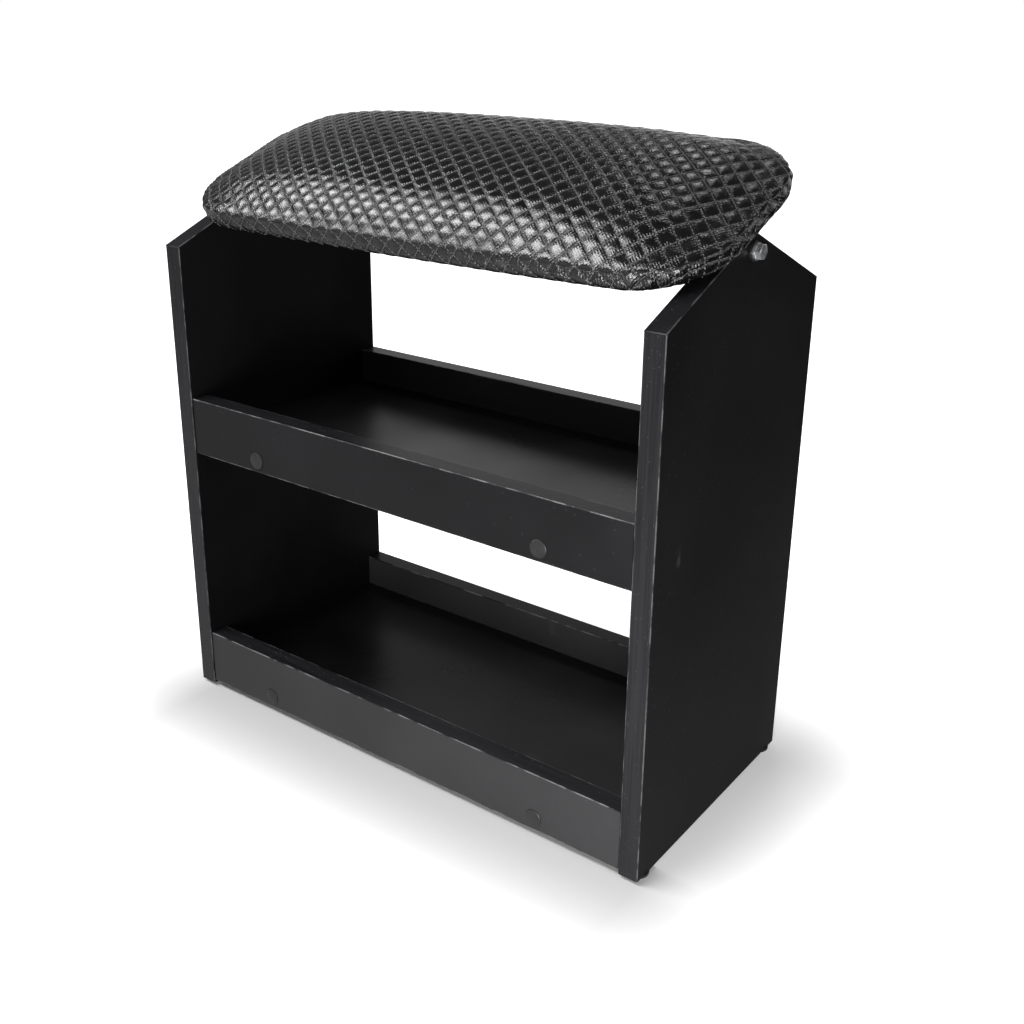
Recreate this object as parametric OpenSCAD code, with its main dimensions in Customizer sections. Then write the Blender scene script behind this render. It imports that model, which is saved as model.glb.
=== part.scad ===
/* [Cabinet] */
// Overall width over the two side panels
cabinet_w = 462; // [430:1:466]
// Overall depth, front edge to back edge of a side panel
cabinet_d = 222; // [200:1:280]
// Height of a side panel's straight front and back edges
panel_edge_h = 397; // [360:1:480]
// Slope of the gable at the top of a side panel, in degrees
gable_angle = 23; // [22:0.5:28]
// Thickness of the coated board that the cabinet is cut from
board_t = 16; // [15:0.5:18]
// Thickness of the edge banding
band_t = 0.8; // [0.4:0.1:2]

/* [Shelves and rails] */
// Height of the middle rails' bottom edge above the panels' bottom edge
mid_rail_z = 222; // [170:1:250]
// Height of the bottom rails' bottom edge above the panels' bottom edge
low_rail_z = 3; // [1:0.5:30]
// Height of a rail
rail_h = 48; // [38:1:60]
// How far a rail stands inside the panels' front and back edges
rail_recess = 1; // [0:0.5:6]
// Gap between a rail's end and the side panel
rail_end_gap = 0.7; // [0.3:0.1:0.9]
// How far a shelf's underside lies above its rails' bottom edges
shelf_lift = 2; // [0:0.5:8]

/* [Rail screws and caps] */
// Distance from a shelf's end to a rail screw
rail_screw_reach = 75; // [55:1:140]
// Length of a rail screw
rail_screw_len = 50; // [36:1:60]
// Thread diameter of a rail screw
rail_screw_d = 7; // [5:0.5:8]
// Head diameter of a rail screw
rail_screw_head_d = 10; // [9:0.5:11]
// Hexagon socket of a rail screw, across flats
rail_screw_socket = 4; // [3:0.5:5]
// Depth of that socket
rail_screw_socket_depth = 4; // [3:0.5:5]
// Diameter of a screw cover cap
cap_d = 14; // [12:0.5:16]
// Thickness of a cover cap's face
cap_t = 1.2; // [0.8:0.1:2]

/* [Shelf joints] */
// Diameter of a cam housing
cam_d = 15; // [12:0.5:20]
// Depth of a cam housing
cam_depth = 12.4; // [11:0.1:13]
// Distance from a shelf's end to a cam's centre
cam_reach = 34; // [24:1:40]
// Distance from a shelf's front or back edge to a cam's centre
cam_edge = 30; // [22:1:40]
// Rod diameter of a cam bolt
cam_rod_d = 6; // [5:0.5:6.5]
// Head diameter of a cam bolt
cam_head_d = 7; // [7:0.1:7.6]
// Length of a cam bolt's thread in the panel
cam_thread_len = 11; // [8:0.5:12]
// Thread diameter of a cam bolt
cam_thread_d = 5; // [4:0.5:5.5]
// Diameter of a wooden dowel
dowel_d = 8; // [6:0.5:9]
// Length of a wooden dowel
dowel_len = 30; // [24:1:40]
// Length of a dowel that sits in the panel
dowel_in_panel = 10; // [8:0.5:12]
// Distance from a cam's centre to the dowel beside it
dowel_step = 32; // [20:1:36]

/* [Glides] */
// Diameter of a floor glide
glide_d = 18; // [14:1:22]
// Height of a floor glide
glide_h = 3; // [2:0.5:6]
// Distance from a panel's front or back edge to a glide's centre
glide_inset = 13; // [12:1:40]
// Diameter of a glide's nail
glide_nail_d = 2.4; // [1.8:0.1:4]
// Length of a glide's nail in the panel
glide_nail_len = 14; // [8:1:20]

/* [Pivot] */
// Distance from the gable's peak down to the pivot axis
pivot_drop = 13; // [11:0.5:13.5]
// Thread diameter of a pivot bolt
bolt_d = 6; // [5:0.5:6]
// Length of a pivot bolt under its head
bolt_len = 60; // [60:1:66]
// Bolt head and nut, across flats
hex_af = 10; // [9:0.5:11]
// Height of a bolt head
bolt_head_h = 4; // [3:0.5:5]
// Outer diameter of a washer
washer_d = 12; // [11:0.5:13]
// Thickness of a washer
washer_t = 1.6; // [1:0.1:2]
// Outer diameter of a pivot bush's sleeve
bush_d = 8.5; // [8:0.1:10]
// Diameter of a pivot bush's flange
bush_flange_d = 14; // [13:0.5:16]
// Thickness of a pivot bush's flange
bush_flange_t = 1.5; // [1:0.1:2]
// Radial clearance of a pivot bolt in its bush
bolt_clear = 0.05; // [0.02:0.01:0.1]
// Thickness of a pivot block along the axis
block_t = 30; // [26:1:30]
// Width of a pivot block
block_w = 50; // [44:1:60]
// How far a pivot block reaches below the pivot axis
block_drop = 15; // [13:0.5:20]
// Height of a lock nut
nut_h = 6; // [5:0.5:7]

/* [Cushion] */
// How far the cushion stands over each side panel's outer face
cushion_overhang = 9; // [7:0.5:16]
// Depth of the cushion at its ends
cushion_d = 180; // [170:1:200]
// Corner radius of the cushion
corner_r = 60; // [45:1:70]
// How much fuller the cushion is at mid length than at its ends, each side
side_bow = 4; // [1:0.1:8]
// Forward tilt of the cushion as it stands, in degrees
rest_tilt = 22; // [0:0.5:22]
// Height of the cushion's underside above the pivot axis
seat_lift = 15; // [14.5:0.5:18]
// Thickness of the cushion's base board
base_t = 12; // [10:0.5:12]
// Height of the cushion's straight side
side_h = 14.2; // [13:0.1:20]
// Rise of the padded edge above the straight side
edge_rise = 16.2; // [8:0.1:20]
// Width of the rounded padded edge
edge_roll = 39; // [24:1:46]
// Roundness of the padded edge: 1 is a straight slope, 2 a quarter ellipse
edge_fullness = 1.44; // [1.3:0.02:2]
// Extra height at the middle of the cushion
crown_rise = 11.6; // [3:0.1:14]
// How far towards its ends the cushion keeps its height
end_fullness = 3.6; // [2:0.1:5]
// How far the lower edge is drawn in under the cushion
draw_in = 4.7; // [3:0.1:8]
// Thickness of the quilted cover
cover_t = 1.2; // [1:0.1:2]
// Width of the foam between the cover's side and the base board
foam_wrap = 9; // [7:0.5:11]
// Width of the cover's turned-under lip
cover_lip = 28; // [22:1:34]
// Thickness of the dust cloth
cloth_t = 0.6; // [0.4:0.1:1]
// Diamonds along the cushion
quilt_columns = 22; // [20:2:24]
// Diamonds across the cushion
quilt_rows = 8; // [6:2:10]
// How far a diamond stands above its stitch lines
quilt_puff = 1.4; // [0.5:0.1:2.5]

/* [Hidden] */

round_fn = 48;
small_fn = 24;
overrun = 1;
soft_gap = 0.3;
part_clear = 0.05;
turn_gap = 0.1;
sides = [-1, 1];

// Side panel profile
gable_tan = tan(gable_angle);
panel_x = cabinet_w / 2 - board_t / 2;
inner_x = cabinet_w / 2 - board_t;
half_d = cabinet_d / 2;
floor_z = glide_h;
peak_z = floor_z + panel_edge_h + half_d * gable_tan;
pivot_z = peak_z - pivot_drop;
function slope_z(y, inset) = peak_z - abs(y) * gable_tan - inset / cos(gable_angle);

// Shelves and rails
rail_bottoms = [floor_z + mid_rail_z, floor_z + low_rail_z];
rail_len = 2 * (inner_x - rail_end_gap);
front_rail_y = -half_d + rail_recess + board_t / 2;
back_rail_y = half_d - rail_recess - board_t / 2;
shelf_front = front_rail_y + board_t / 2;
shelf_back = back_rail_y - board_t / 2;
shelf_depth = shelf_back - shelf_front;
shelf_y = (shelf_front + shelf_back) / 2;
function shelf_mid_z(rail_z) = rail_z + shelf_lift + board_t / 2;

// Rail screws
rail_screw_x = inner_x - rail_screw_reach;
screw_root_d = rail_screw_d - 1.2 * part_clear;
screw_head_h = rail_screw_head_d * 0.4;
rail_faces = [[-1, front_rail_y - board_t / 2], [1, back_rail_y + board_t / 2]];
screw_places = [for (z = rail_bottoms) for (s = sides) for (f = rail_faces)
    [s * rail_screw_x, f[1], shelf_mid_z(z), f[0]]];
cap_pin_d = rail_screw_socket * 0.9;
cap_pin_len = rail_screw_socket_depth * 0.7;

// Cam joints and dowels
shelf_ends = [for (z = rail_bottoms) for (s = sides) [s, shelf_mid_z(z)]];
cam_x = inner_x - cam_reach;
cam_span = shelf_depth - 2 * cam_edge;
dowel_span = cam_span - 2 * dowel_step;
cam_head_len = 3;

// Pivot
bush_sleeve = board_t / 2 - turn_gap;
bolt_seat = cabinet_w / 2 + bush_flange_t + turn_gap + washer_t;
block_out = inner_x - bush_flange_t - turn_gap * 2;
block_in = block_out - block_t;
block_top = seat_lift - soft_gap;
block_chamfer = block_drop * 0.5;
block_screw_d = 4.5;
block_screw_head_d = 8.5;
block_screw_span = block_w * 0.56;
block_screw_sink = 6;
block_screw_len = block_top + block_drop - block_screw_sink + soft_gap + base_t * 0.75 + cloth_t + cover_t;

// Cushion levels above the pivot axis
cloth_top = seat_lift + cloth_t;
cover_bottom = cloth_top + soft_gap;
lip_top = cover_bottom + cover_t;
base_bottom = lip_top + soft_gap;
base_top = base_bottom + base_t;
side_bottom = cover_bottom + draw_in;
side_top = cover_bottom + side_h;

// Cushion plan: u and v run from -1 to 1 over its length and depth
half_w = cabinet_w / 2 + cushion_overhang;
half_c = cushion_d / 2;
quilt_inset = 4;
cells_x = quilt_columns * 2;
cells_y = quilt_rows * 2;
base_inset = cover_t + soft_gap + foam_wrap;

function clip_low(v) = v > 0 ? v : 0;
function corner_part(p, q, r) = r * p * sqrt(1 - q * q / 2);
// A point of the plan at the shares u and v, drawn in from the outline by inset
function plan_flat(u, v, inset) =
    let (w = half_w - inset, d = half_c - inset, r = corner_r - inset)
    let (px = abs(u) * w, py = abs(v) * d)
    let (cx = clip_low(px - w + r) / r, cy = clip_low(py - d + r) / r)
    [sign(u) * (px - cx * r + corner_part(cx, cy, r)), sign(v) * (py - cy * r + corner_part(cy, cx, r))];
function edge_distance(p) =
    let (cx = clip_low(abs(p.x) - half_w + corner_r), cy = clip_low(abs(p.y) - half_c + corner_r))
    cx > 0 && cy > 0
        ? corner_r - norm([cx, cy])
        : min(half_w - abs(p.x), half_c - abs(p.y));
function bowed(p) = [p.x, p.y + side_bow * (1 - pow(p.x / half_w, 2)) * p.y / half_c];
function roll_share(e) = e >= edge_roll
    ? 1
    : pow(1 - pow(1 - clip_low(e) / edge_roll, edge_fullness), 1 / edge_fullness);
function fade(s) = 1 - s * s;
function end_fade(s) = 1 - pow(abs(s), end_fullness);
function top_z(p, inset) =
    side_top
    + edge_rise * roll_share(inset) * end_fade(p.x / half_w)
    + crown_rise * end_fade(p.x / half_w) * fade(p.y / half_c) * roll_share(inset);

// The quilted top: stitch crossings are low and diamond centres are high
function quilt_point(i, j) =
    let (p = plan_flat(2 * i / cells_x - 1, 2 * j / cells_y - 1, quilt_inset))
    let (b = bowed(p), inside = i > 0 && j > 0 && i < cells_x && j < cells_y)
    [b.x, b.y, top_z(p, edge_distance(p)) + (inside && (i + j) % 2 == 1 ? quilt_puff : 0)];
function quilt_id(i, j) = i * (cells_y + 1) + j;
quilt_points = [for (i = [0:cells_x]) for (j = [0:cells_y]) quilt_point(i, j)];
function cell_faces(a, b, c, d, even) = even ? [[a, c, b], [a, d, c]] : [[a, d, b], [b, d, c]];
quilt_faces = [for (i = [0:cells_x - 1]) for (j = [0:cells_y - 1])
    let (a = quilt_id(i, j), b = quilt_id(i + 1, j), c = quilt_id(i + 1, j + 1), d = quilt_id(i, j + 1))
    each cell_faces(a, b, c, d, (i + j) % 2 == 0)];

// The rim of the quilted top, counterclockwise from above, as pairs of cell numbers
rim_cells = [
    for (i = [0:cells_x - 1]) [i, 0],
    for (j = [0:cells_y - 1]) [cells_x, j],
    for (i = [cells_x:-1:1]) [i, cells_y],
    for (j = [cells_y:-1:1]) [0, j]
];
rim_count = len(rim_cells);
side_count = rim_count / 2;
inner_count = rim_count / 4;

// A ring of the cushion's form: every step-th rim place, drawn in by inset, at the height z
function ring(step, inset, z) = [for (k = [0:step:rim_count - 1])
    let (c = rim_cells[k], b = bowed(plan_flat(2 * c[0] / cells_x - 1, 2 * c[1] / cells_y - 1, inset)))
    [b.x, b.y, z]];
// The same, lying depth below the cushion's top
function top_ring(step, inset, depth) = [for (k = [0:step:rim_count - 1])
    let (c = rim_cells[k], p = plan_flat(2 * c[0] / cells_x - 1, 2 * c[1] / cells_y - 1, inset), b = bowed(p))
    [b.x, b.y, top_z(p, inset) - depth]];
// Faces between an upper and a lower ring of n points, and from a ring of 2n points to one of n
function band_faces(upper, lower, n) = [for (k = [0:n - 1]) let (m = (k + 1) % n)
    each [[upper + k, upper + m, lower + k], [upper + m, lower + m, lower + k]]];
function halving_faces(upper, lower, n) = [for (k = [0:n - 1]) let (m = (k + 1) % n)
    each [[upper[2 * k], upper[2 * k + 1], lower + k],
          [upper[2 * k + 1], lower + m, lower + k],
          [upper[2 * k + 1], upper[(2 * k + 2) % (2 * n)], lower + m]]];
function lid_faces(first, centre, n) = [for (k = [0:n - 1]) [first + k, centre, first + (k + 1) % n]];
function run_of(first, n) = [for (k = [0:n - 1]) first + k];
function turned(faces) = [for (f = faces) [f[0], f[2], f[1]]];

// Inner face of the cover: rings from the lip up to the crown, each held in by gap
inner_last = 6;
inner_insets = [edge_roll * 0.25, edge_roll * 0.8, (edge_roll + half_c) * 0.45, half_c * 0.97];
function inner_rings(gap) = concat(
    ring(4, draw_in + cover_t + gap, lip_top + gap),
    ring(4, cover_t + gap, side_bottom + cover_t),
    ring(4, cover_t + gap, side_top - cover_t - gap),
    [for (inset = inner_insets) each top_ring(4, inset, cover_t + soft_gap + gap)],
    [[0, 0, side_top + edge_rise + crown_rise - cover_t - soft_gap - gap]]
);
function inner_band_faces(first) = concat(
    [for (k = [0:inner_last - 1])
        let (low = first + k * inner_count)
        each band_faces(low + inner_count, low, inner_count)],
    lid_faces(first + inner_last * inner_count, first + (inner_last + 1) * inner_count, inner_count)
);

// The whole cover: quilted top, sides, lip and inner face in one closed surface
wall_first = len(quilt_points);
lip_first = wall_first + 3 * side_count;
inner_first = lip_first + 2 * inner_count;
cover_points = concat(
    quilt_points,
    ring(2, 0, side_top),
    ring(2, 0, side_bottom),
    ring(2, draw_in, cover_bottom),
    ring(4, cover_lip, cover_bottom),
    ring(4, cover_lip, lip_top),
    inner_rings(0)
);
rim_ids = [for (c = rim_cells) quilt_id(c[0], c[1])];
cover_faces = concat(
    quilt_faces,
    halving_faces(rim_ids, wall_first, side_count),
    band_faces(wall_first, wall_first + side_count, side_count),
    band_faces(wall_first + side_count, wall_first + 2 * side_count, side_count),
    halving_faces(run_of(wall_first + 2 * side_count, side_count), lip_first, inner_count),
    band_faces(lip_first, lip_first + inner_count, inner_count),
    band_faces(lip_first + inner_count, inner_first, inner_count),
    turned(inner_band_faces(inner_first))
);
foam_faces = concat([run_of(0, inner_count)], inner_band_faces(0));

// Staples: places along the cushion's underside, as x, y and the direction of the crown
staple_inset = 18;
staple_w = 10;
staple_wire = 0.7;
staple_leg = 7;
staple_pitch = 40;
corner_staple_angles = [20, 45, 70];
staple_run = half_w - corner_r;
staple_steps = floor(2 * staple_run / staple_pitch);
side_staples = [for (k = [0:staple_steps]) for (s = sides)
    [-staple_run + 2 * staple_run * k / staple_steps, s * (half_c - staple_inset), 0]];
end_staples = [for (s = sides) for (e = [-1, 0, 1])
    [s * (half_w - staple_inset), e * (half_c - corner_r), 90]];
corner_staples = [for (s = sides) for (e = sides) for (a = corner_staple_angles)
    [s * (half_w - corner_r + (corner_r - staple_inset) * cos(a)),
     e * (half_c - corner_r + (corner_r - staple_inset) * sin(a)),
     90 + s * e * a]];

// Small helpers
module profile_prism(points, from_x, to_x) {
    translate([from_x, 0, 0])
        rotate([90, 0, 90])
            linear_extrude(to_x - from_x)
                polygon(points);
}

module bar(x, y, z, w, d, h) {
    translate([x - w / 2, y - d / 2, z])
        cube([w, d, h]);
}

module rod_x(from_x, to_x, d, fn = small_fn) {
    translate([min(from_x, to_x), 0, 0])
        rotate([0, 90, 0])
            cylinder(d = d, h = abs(to_x - from_x), $fn = fn);
}

module rod_y(from_y, to_y, d, fn = small_fn) {
    translate([0, max(from_y, to_y), 0])
        rotate([90, 0, 0])
            cylinder(d = d, h = abs(to_y - from_y), $fn = fn);
}

module rounded_plate(w, d, r, h) {
    linear_extrude(h)
        union() {
            square([w - 2 * r, d], center = true);
            square([w, d - 2 * r], center = true);
            for (s = sides) for (e = sides)
                translate([s * (w / 2 - r), e * (d / 2 - r)])
                    circle(r = r, $fn = round_fn * 2);
        }
}

// Puts a cushion piece at its tilt on the pivot axis
module on_pivot() {
    translate([0, 0, pivot_z])
        rotate([rest_tilt, 0, 0])
            children();
}

// Places for the shelf joints of one panel side
module at_shelf_ends(side, span) {
    for (end = shelf_ends)
        if (side == 0 || end[0] == side)
            for (s = sides)
                translate([end[0] * inner_x, shelf_y + s * span / 2, end[1]])
                    mirror([end[0] > 0 ? 0 : 1, 0, 0])
                        children();
}

module at_glides(side) {
    for (e = sides)
        translate([side * panel_x, e * (half_d - glide_inset), 0])
            children();
}

// Side panels
panel_points = [
    [-half_d + band_t, floor_z],
    [half_d - band_t, floor_z],
    [half_d - band_t, slope_z(half_d - band_t, band_t)],
    [0, slope_z(0, band_t)],
    [-half_d + band_t, slope_z(half_d - band_t, band_t)]
];

module panel(side) {
    color([0.13, 0.13, 0.135])
    difference() {
        profile_prism(panel_points, side * panel_x - board_t / 2, side * panel_x + board_t / 2);
        translate([0, 0, pivot_z])
            rod_x(side * (inner_x - overrun), side * (cabinet_w / 2 + overrun), bush_d + 2 * part_clear);
        at_shelf_ends(side, cam_span)
            rod_x(-overrun, cam_thread_len + part_clear, cam_thread_d + 2 * part_clear);
        at_shelf_ends(side, dowel_span)
            rod_x(-overrun, dowel_in_panel + overrun, dowel_d + 2 * part_clear);
        at_glides(side)
            translate([0, 0, floor_z - overrun])
                cylinder(d = glide_nail_d + 2 * part_clear, h = glide_nail_len + 2 * overrun, $fn = small_fn);
    }
}

module left_panel() { panel(-1); }
module right_panel() { panel(1); }

// Edge banding of a side panel: front and back strips, and two slope strips that meet at the peak
module panel_banding(side) {
    color([0.22, 0.22, 0.24])
    for (e = sides) {
        profile_prism([
            [e * half_d, floor_z],
            [e * (half_d - band_t), floor_z],
            [e * (half_d - band_t), slope_z(half_d - band_t, band_t)],
            [e * half_d, slope_z(half_d, band_t)]
        ], side * panel_x - board_t / 2, side * panel_x + board_t / 2);
        profile_prism([
            [0, slope_z(0, band_t)],
            [e * half_d, slope_z(half_d, band_t)],
            [e * half_d, slope_z(half_d, 0)],
            [0, peak_z]
        ], side * panel_x - board_t / 2, side * panel_x + board_t / 2);
    }
}

module left_panel_banding() { panel_banding(-1); }
module right_panel_banding() { panel_banding(1); }

// Shelf boards, with the bores of their joints
module cam_bolt_bore() {
    rod_x(overrun, -cam_reach, cam_head_d + 2 * part_clear);
}

module shelf(rail_z) {
    mid = shelf_mid_z(rail_z);
    color([0.1, 0.1, 0.105])
    difference() {
        bar(0, shelf_y, mid - board_t / 2, 2 * inner_x, shelf_depth, board_t);
        for (s = sides) for (e = sides) {
            translate([s * inner_x, shelf_y + e * cam_span / 2, mid])
                mirror([s > 0 ? 0 : 1, 0, 0]) {
                    cam_bolt_bore();
                    translate([-cam_reach, 0, -board_t / 2 - overrun])
                        cylinder(d = cam_d + 2 * part_clear, h = cam_depth + overrun + part_clear,
                            $fn = round_fn);
                }
            translate([s * inner_x, shelf_y + e * dowel_span / 2, mid])
                mirror([s > 0 ? 0 : 1, 0, 0])
                    rod_x(overrun, dowel_in_panel - dowel_len - overrun, dowel_d + 2 * part_clear);
            translate([s * rail_screw_x, shelf_y + e * shelf_depth / 2, mid])
                rod_y(e * overrun, e * (board_t - rail_screw_len - overrun), rail_screw_d + 2 * part_clear);
        }
    }
}

module mid_shelf() { shelf(rail_bottoms[0]); }
module bottom_shelf() { shelf(rail_bottoms[1]); }

// Rails, with their banding on the top and bottom edges; end is -1 in front and 1 at the back
module rail(rail_z, end) {
    y = end < 0 ? front_rail_y : back_rail_y;
    face_y = y + end * board_t / 2;
    color([0.16, 0.16, 0.165])
    difference() {
        bar(0, y, rail_z + band_t, rail_len, board_t, rail_h - 2 * band_t);
        for (s = sides)
            translate([s * rail_screw_x, face_y, shelf_mid_z(rail_z)]) {
                rod_y(end * overrun, -end * (board_t + overrun), rail_screw_d + 2 * part_clear);
                rotate([end * 90, 0, 0])
                    translate([0, 0, -part_clear])
                        cylinder(d1 = rail_screw_head_d + 4 * part_clear, d2 = rail_screw_d,
                            h = screw_head_h + part_clear, $fn = small_fn);
            }
    }
}

module mid_front_rail() { rail(rail_bottoms[0], -1); }
module mid_back_rail() { rail(rail_bottoms[0], 1); }
module bottom_front_rail() { rail(rail_bottoms[1], -1); }
module bottom_back_rail() { rail(rail_bottoms[1], 1); }

module rail_banding(rail_z) {
    color([0.24, 0.24, 0.26])
    for (y = [front_rail_y, back_rail_y]) for (z = [rail_z, rail_z + rail_h - band_t])
        bar(0, y, z, rail_len, board_t, band_t);
}

module mid_rail_banding() { rail_banding(rail_bottoms[0]); }
module bottom_rail_banding() { rail_banding(rail_bottoms[1]); }

// Rail screws and their cover caps, drawn along +Z into the wood and turned into place
module at_rail_screws() {
    for (p = screw_places)
        translate([p[0], p[1], p[2]])
            rotate([p[3] * 90, 0, 0])
                children();
}

module rail_screw() {
    difference() {
        union() {
            cylinder(d1 = rail_screw_head_d, d2 = screw_root_d, h = screw_head_h, $fn = small_fn);
            translate([0, 0, screw_head_h])
                cylinder(d = screw_root_d, h = rail_screw_len - screw_head_h - rail_screw_d, $fn = small_fn);
            translate([0, 0, rail_screw_len - rail_screw_d])
                cylinder(d1 = screw_root_d, d2 = screw_root_d / 2, h = rail_screw_d, $fn = small_fn);
        }
        translate([0, 0, -overrun])
            cylinder(d = rail_screw_socket / cos(30), h = rail_screw_socket_depth + overrun, $fn = 6);
    }
}

module rail_screws() {
    color([0.62, 0.6, 0.55])
    at_rail_screws()
        rail_screw();
}

module screw_caps() {
    color([0.07, 0.07, 0.075])
    at_rail_screws() {
        translate([0, 0, -cap_t / 2])
            cylinder(d = cap_d, h = cap_t / 2, $fn = round_fn);
        translate([0, 0, -cap_t])
            cylinder(d1 = cap_d - 2 * cap_t, d2 = cap_d, h = cap_t / 2, $fn = round_fn);
        cylinder(d = cap_pin_d, h = cap_pin_len, $fn = small_fn);
    }
}

// Cam housings and the bolts that they pull on
module cam_bolt() {
    rod_x(0, cam_thread_len, cam_thread_d);
    rod_x(cam_head_len - cam_reach, 0, cam_rod_d);
    rod_x(-cam_reach, cam_head_len - cam_reach, cam_head_d);
}

module cam_bolts() {
    color([0.7, 0.68, 0.6])
    at_shelf_ends(0, cam_span)
        cam_bolt();
}

module cam_housings() {
    slot_w = cam_d / 8;
    color([0.55, 0.55, 0.57])
    at_shelf_ends(0, cam_span)
        translate([-cam_reach, 0, 0])
            difference() {
                translate([0, 0, -board_t / 2])
                    cylinder(d = cam_d, h = cam_depth, $fn = round_fn);
                rod_x(-cam_d * 0.2, cam_d, cam_head_d + 2 * part_clear);
                for (a = [0, 90])
                    rotate([0, 0, a])
                        bar(0, 0, -board_t / 2 - overrun, cam_d * 0.6, slot_w, slot_w + overrun);
            }
}

module dowels() {
    color([0.78, 0.62, 0.42])
    at_shelf_ends(0, dowel_span)
        rod_x(dowel_in_panel - dowel_len, dowel_in_panel, dowel_d);
}

// Floor glides: a disc with a rounded lower rim and a nail
module floor_glides() {
    rim = glide_h / 3;
    color([0.05, 0.05, 0.05])
    for (s = sides)
        at_glides(s) {
            cylinder(d1 = glide_d - 2 * rim, d2 = glide_d, h = rim, $fn = round_fn);
            translate([0, 0, rim])
                cylinder(d = glide_d, h = glide_h - rim, $fn = round_fn);
            translate([0, 0, glide_h])
                cylinder(d = glide_nail_d, h = glide_nail_len, $fn = small_fn);
        }
}

// Pivot bushes: one flanged bush from each face of a panel
module pivot_bushes(side) {
    color([0.06, 0.06, 0.06])
    translate([side * panel_x, 0, pivot_z])
        for (s = sides)
            mirror([s > 0 ? 0 : 1, 0, 0])
                difference() {
                    union() {
                        rod_x(board_t / 2 - bush_sleeve, board_t / 2, bush_d);
                        rod_x(board_t / 2, board_t / 2 + bush_flange_t, bush_flange_d, round_fn);
                    }
                    rod_x(-overrun, board_t, bolt_d + 2 * bolt_clear);
                }
}

module left_pivot_bushes() { pivot_bushes(-1); }
module right_pivot_bushes() { pivot_bushes(1); }

// Cushion: base board, foam, quilted cover, dust cloth and staples
module at_block_screws() {
    for (s = sides) for (e = sides)
        translate([s * (block_in + block_out) / 2, e * block_screw_span / 2, 0])
            children();
}

module base_plate(grow, from_z, to_z) {
    translate([0, 0, from_z])
        rounded_plate(2 * (half_w - base_inset + grow), 2 * (half_c - base_inset + grow),
            corner_r - base_inset + grow, to_z - from_z);
}

module cushion_board() {
    color([0.72, 0.58, 0.4])
    on_pivot()
        difference() {
            base_plate(0, base_bottom, base_top);
            at_block_screws()
                translate([0, 0, base_bottom - overrun])
                    cylinder(d = block_screw_d + 2 * part_clear, h = base_t * 0.85 + overrun, $fn = small_fn);
        }
}

module cushion_foam() {
    color([0.86, 0.83, 0.7])
    on_pivot()
        difference() {
            polyhedron(points = inner_rings(soft_gap), faces = foam_faces);
            base_plate(soft_gap, lip_top - overrun, base_top + soft_gap);
        }
}

module cushion_cover() {
    color([0.09, 0.09, 0.095])
    on_pivot()
        polyhedron(points = cover_points, faces = cover_faces);
}

module dust_cloth() {
    cloth_inset = staple_inset - staple_w / 2;
    color([0.1, 0.1, 0.1])
    on_pivot()
        difference() {
            translate([0, 0, seat_lift])
                rounded_plate(2 * (half_w - cloth_inset), 2 * (half_c - cloth_inset),
                    corner_r - cloth_inset, cloth_t);
            at_block_screws()
                translate([0, 0, seat_lift - overrun])
                    cylinder(d = block_screw_d + 2 * soft_gap, h = cloth_t + 2 * overrun, $fn = small_fn);
        }
}

module staple() {
    bar(0, 0, 0, staple_w, staple_wire, staple_wire);
    for (s = sides)
        bar(s * (staple_w - staple_wire) / 2, 0, 0, staple_wire, staple_wire, staple_leg);
}

module cover_staples() {
    color([0.7, 0.7, 0.72])
    on_pivot()
        for (p = concat(side_staples, end_staples, corner_staples))
            translate([p[0], p[1], seat_lift - staple_wire])
                rotate([0, 0, p[2]])
                    staple();
}

// Pivot blocks under the cushion, with their screws
block_points = [
    [-block_w / 2, block_top],
    [-block_w / 2, -block_drop + block_chamfer],
    [-block_w / 2 + block_chamfer, -block_drop],
    [block_w / 2 - block_chamfer, -block_drop],
    [block_w / 2, -block_drop + block_chamfer],
    [block_w / 2, block_top]
];

module pivot_block(side) {
    color([0.12, 0.12, 0.12])
    on_pivot()
        difference() {
            profile_prism(block_points, side > 0 ? block_in : -block_out, side > 0 ? block_out : -block_in);
            rod_x(side * (block_in - overrun), side * (block_out + overrun), bolt_d + 2 * part_clear);
            at_block_screws() {
                translate([0, 0, -block_drop - overrun])
                    cylinder(d = block_screw_head_d + 2 * part_clear, h = block_screw_sink + overrun,
                        $fn = small_fn);
                translate([0, 0, -block_drop])
                    cylinder(d = block_screw_d + 2 * part_clear, h = block_drop + block_top + overrun,
                        $fn = small_fn);
            }
        }
}

module left_pivot_block() { pivot_block(-1); }
module right_pivot_block() { pivot_block(1); }

module block_screws() {
    head_h = block_screw_head_d * 0.3;
    color([0.6, 0.6, 0.62])
    on_pivot()
        at_block_screws()
            translate([0, 0, -block_drop + block_screw_sink]) {
                translate([0, 0, -head_h])
                    cylinder(d = block_screw_head_d, h = head_h, $fn = small_fn);
                cylinder(d = block_screw_d, h = block_screw_len, $fn = small_fn);
            }
}

// Pivot bolts, washers and lock nuts, which turn with the cushion
module hexagon(af, h) {
    cylinder(d = af / cos(30), h = h, $fn = 6);
}

module chamfered_hexagon(af, h) {
    edge = af / cos(30) - af;
    intersection() {
        hexagon(af, h);
        cylinder(d1 = af + 3 * h, d2 = af - edge / 4, h = h, $fn = round_fn);
    }
}

module pivot_bolt(side) {
    color([0.78, 0.79, 0.8])
    on_pivot()
        translate([side * bolt_seat, 0, 0])
            rotate([0, side * 90, 0]) {
                chamfered_hexagon(hex_af, bolt_head_h);
                translate([0, 0, -bolt_len])
                    cylinder(d = bolt_d, h = bolt_len, $fn = round_fn);
            }
}

module left_pivot_bolt() { pivot_bolt(-1); }
module right_pivot_bolt() { pivot_bolt(1); }

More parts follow.
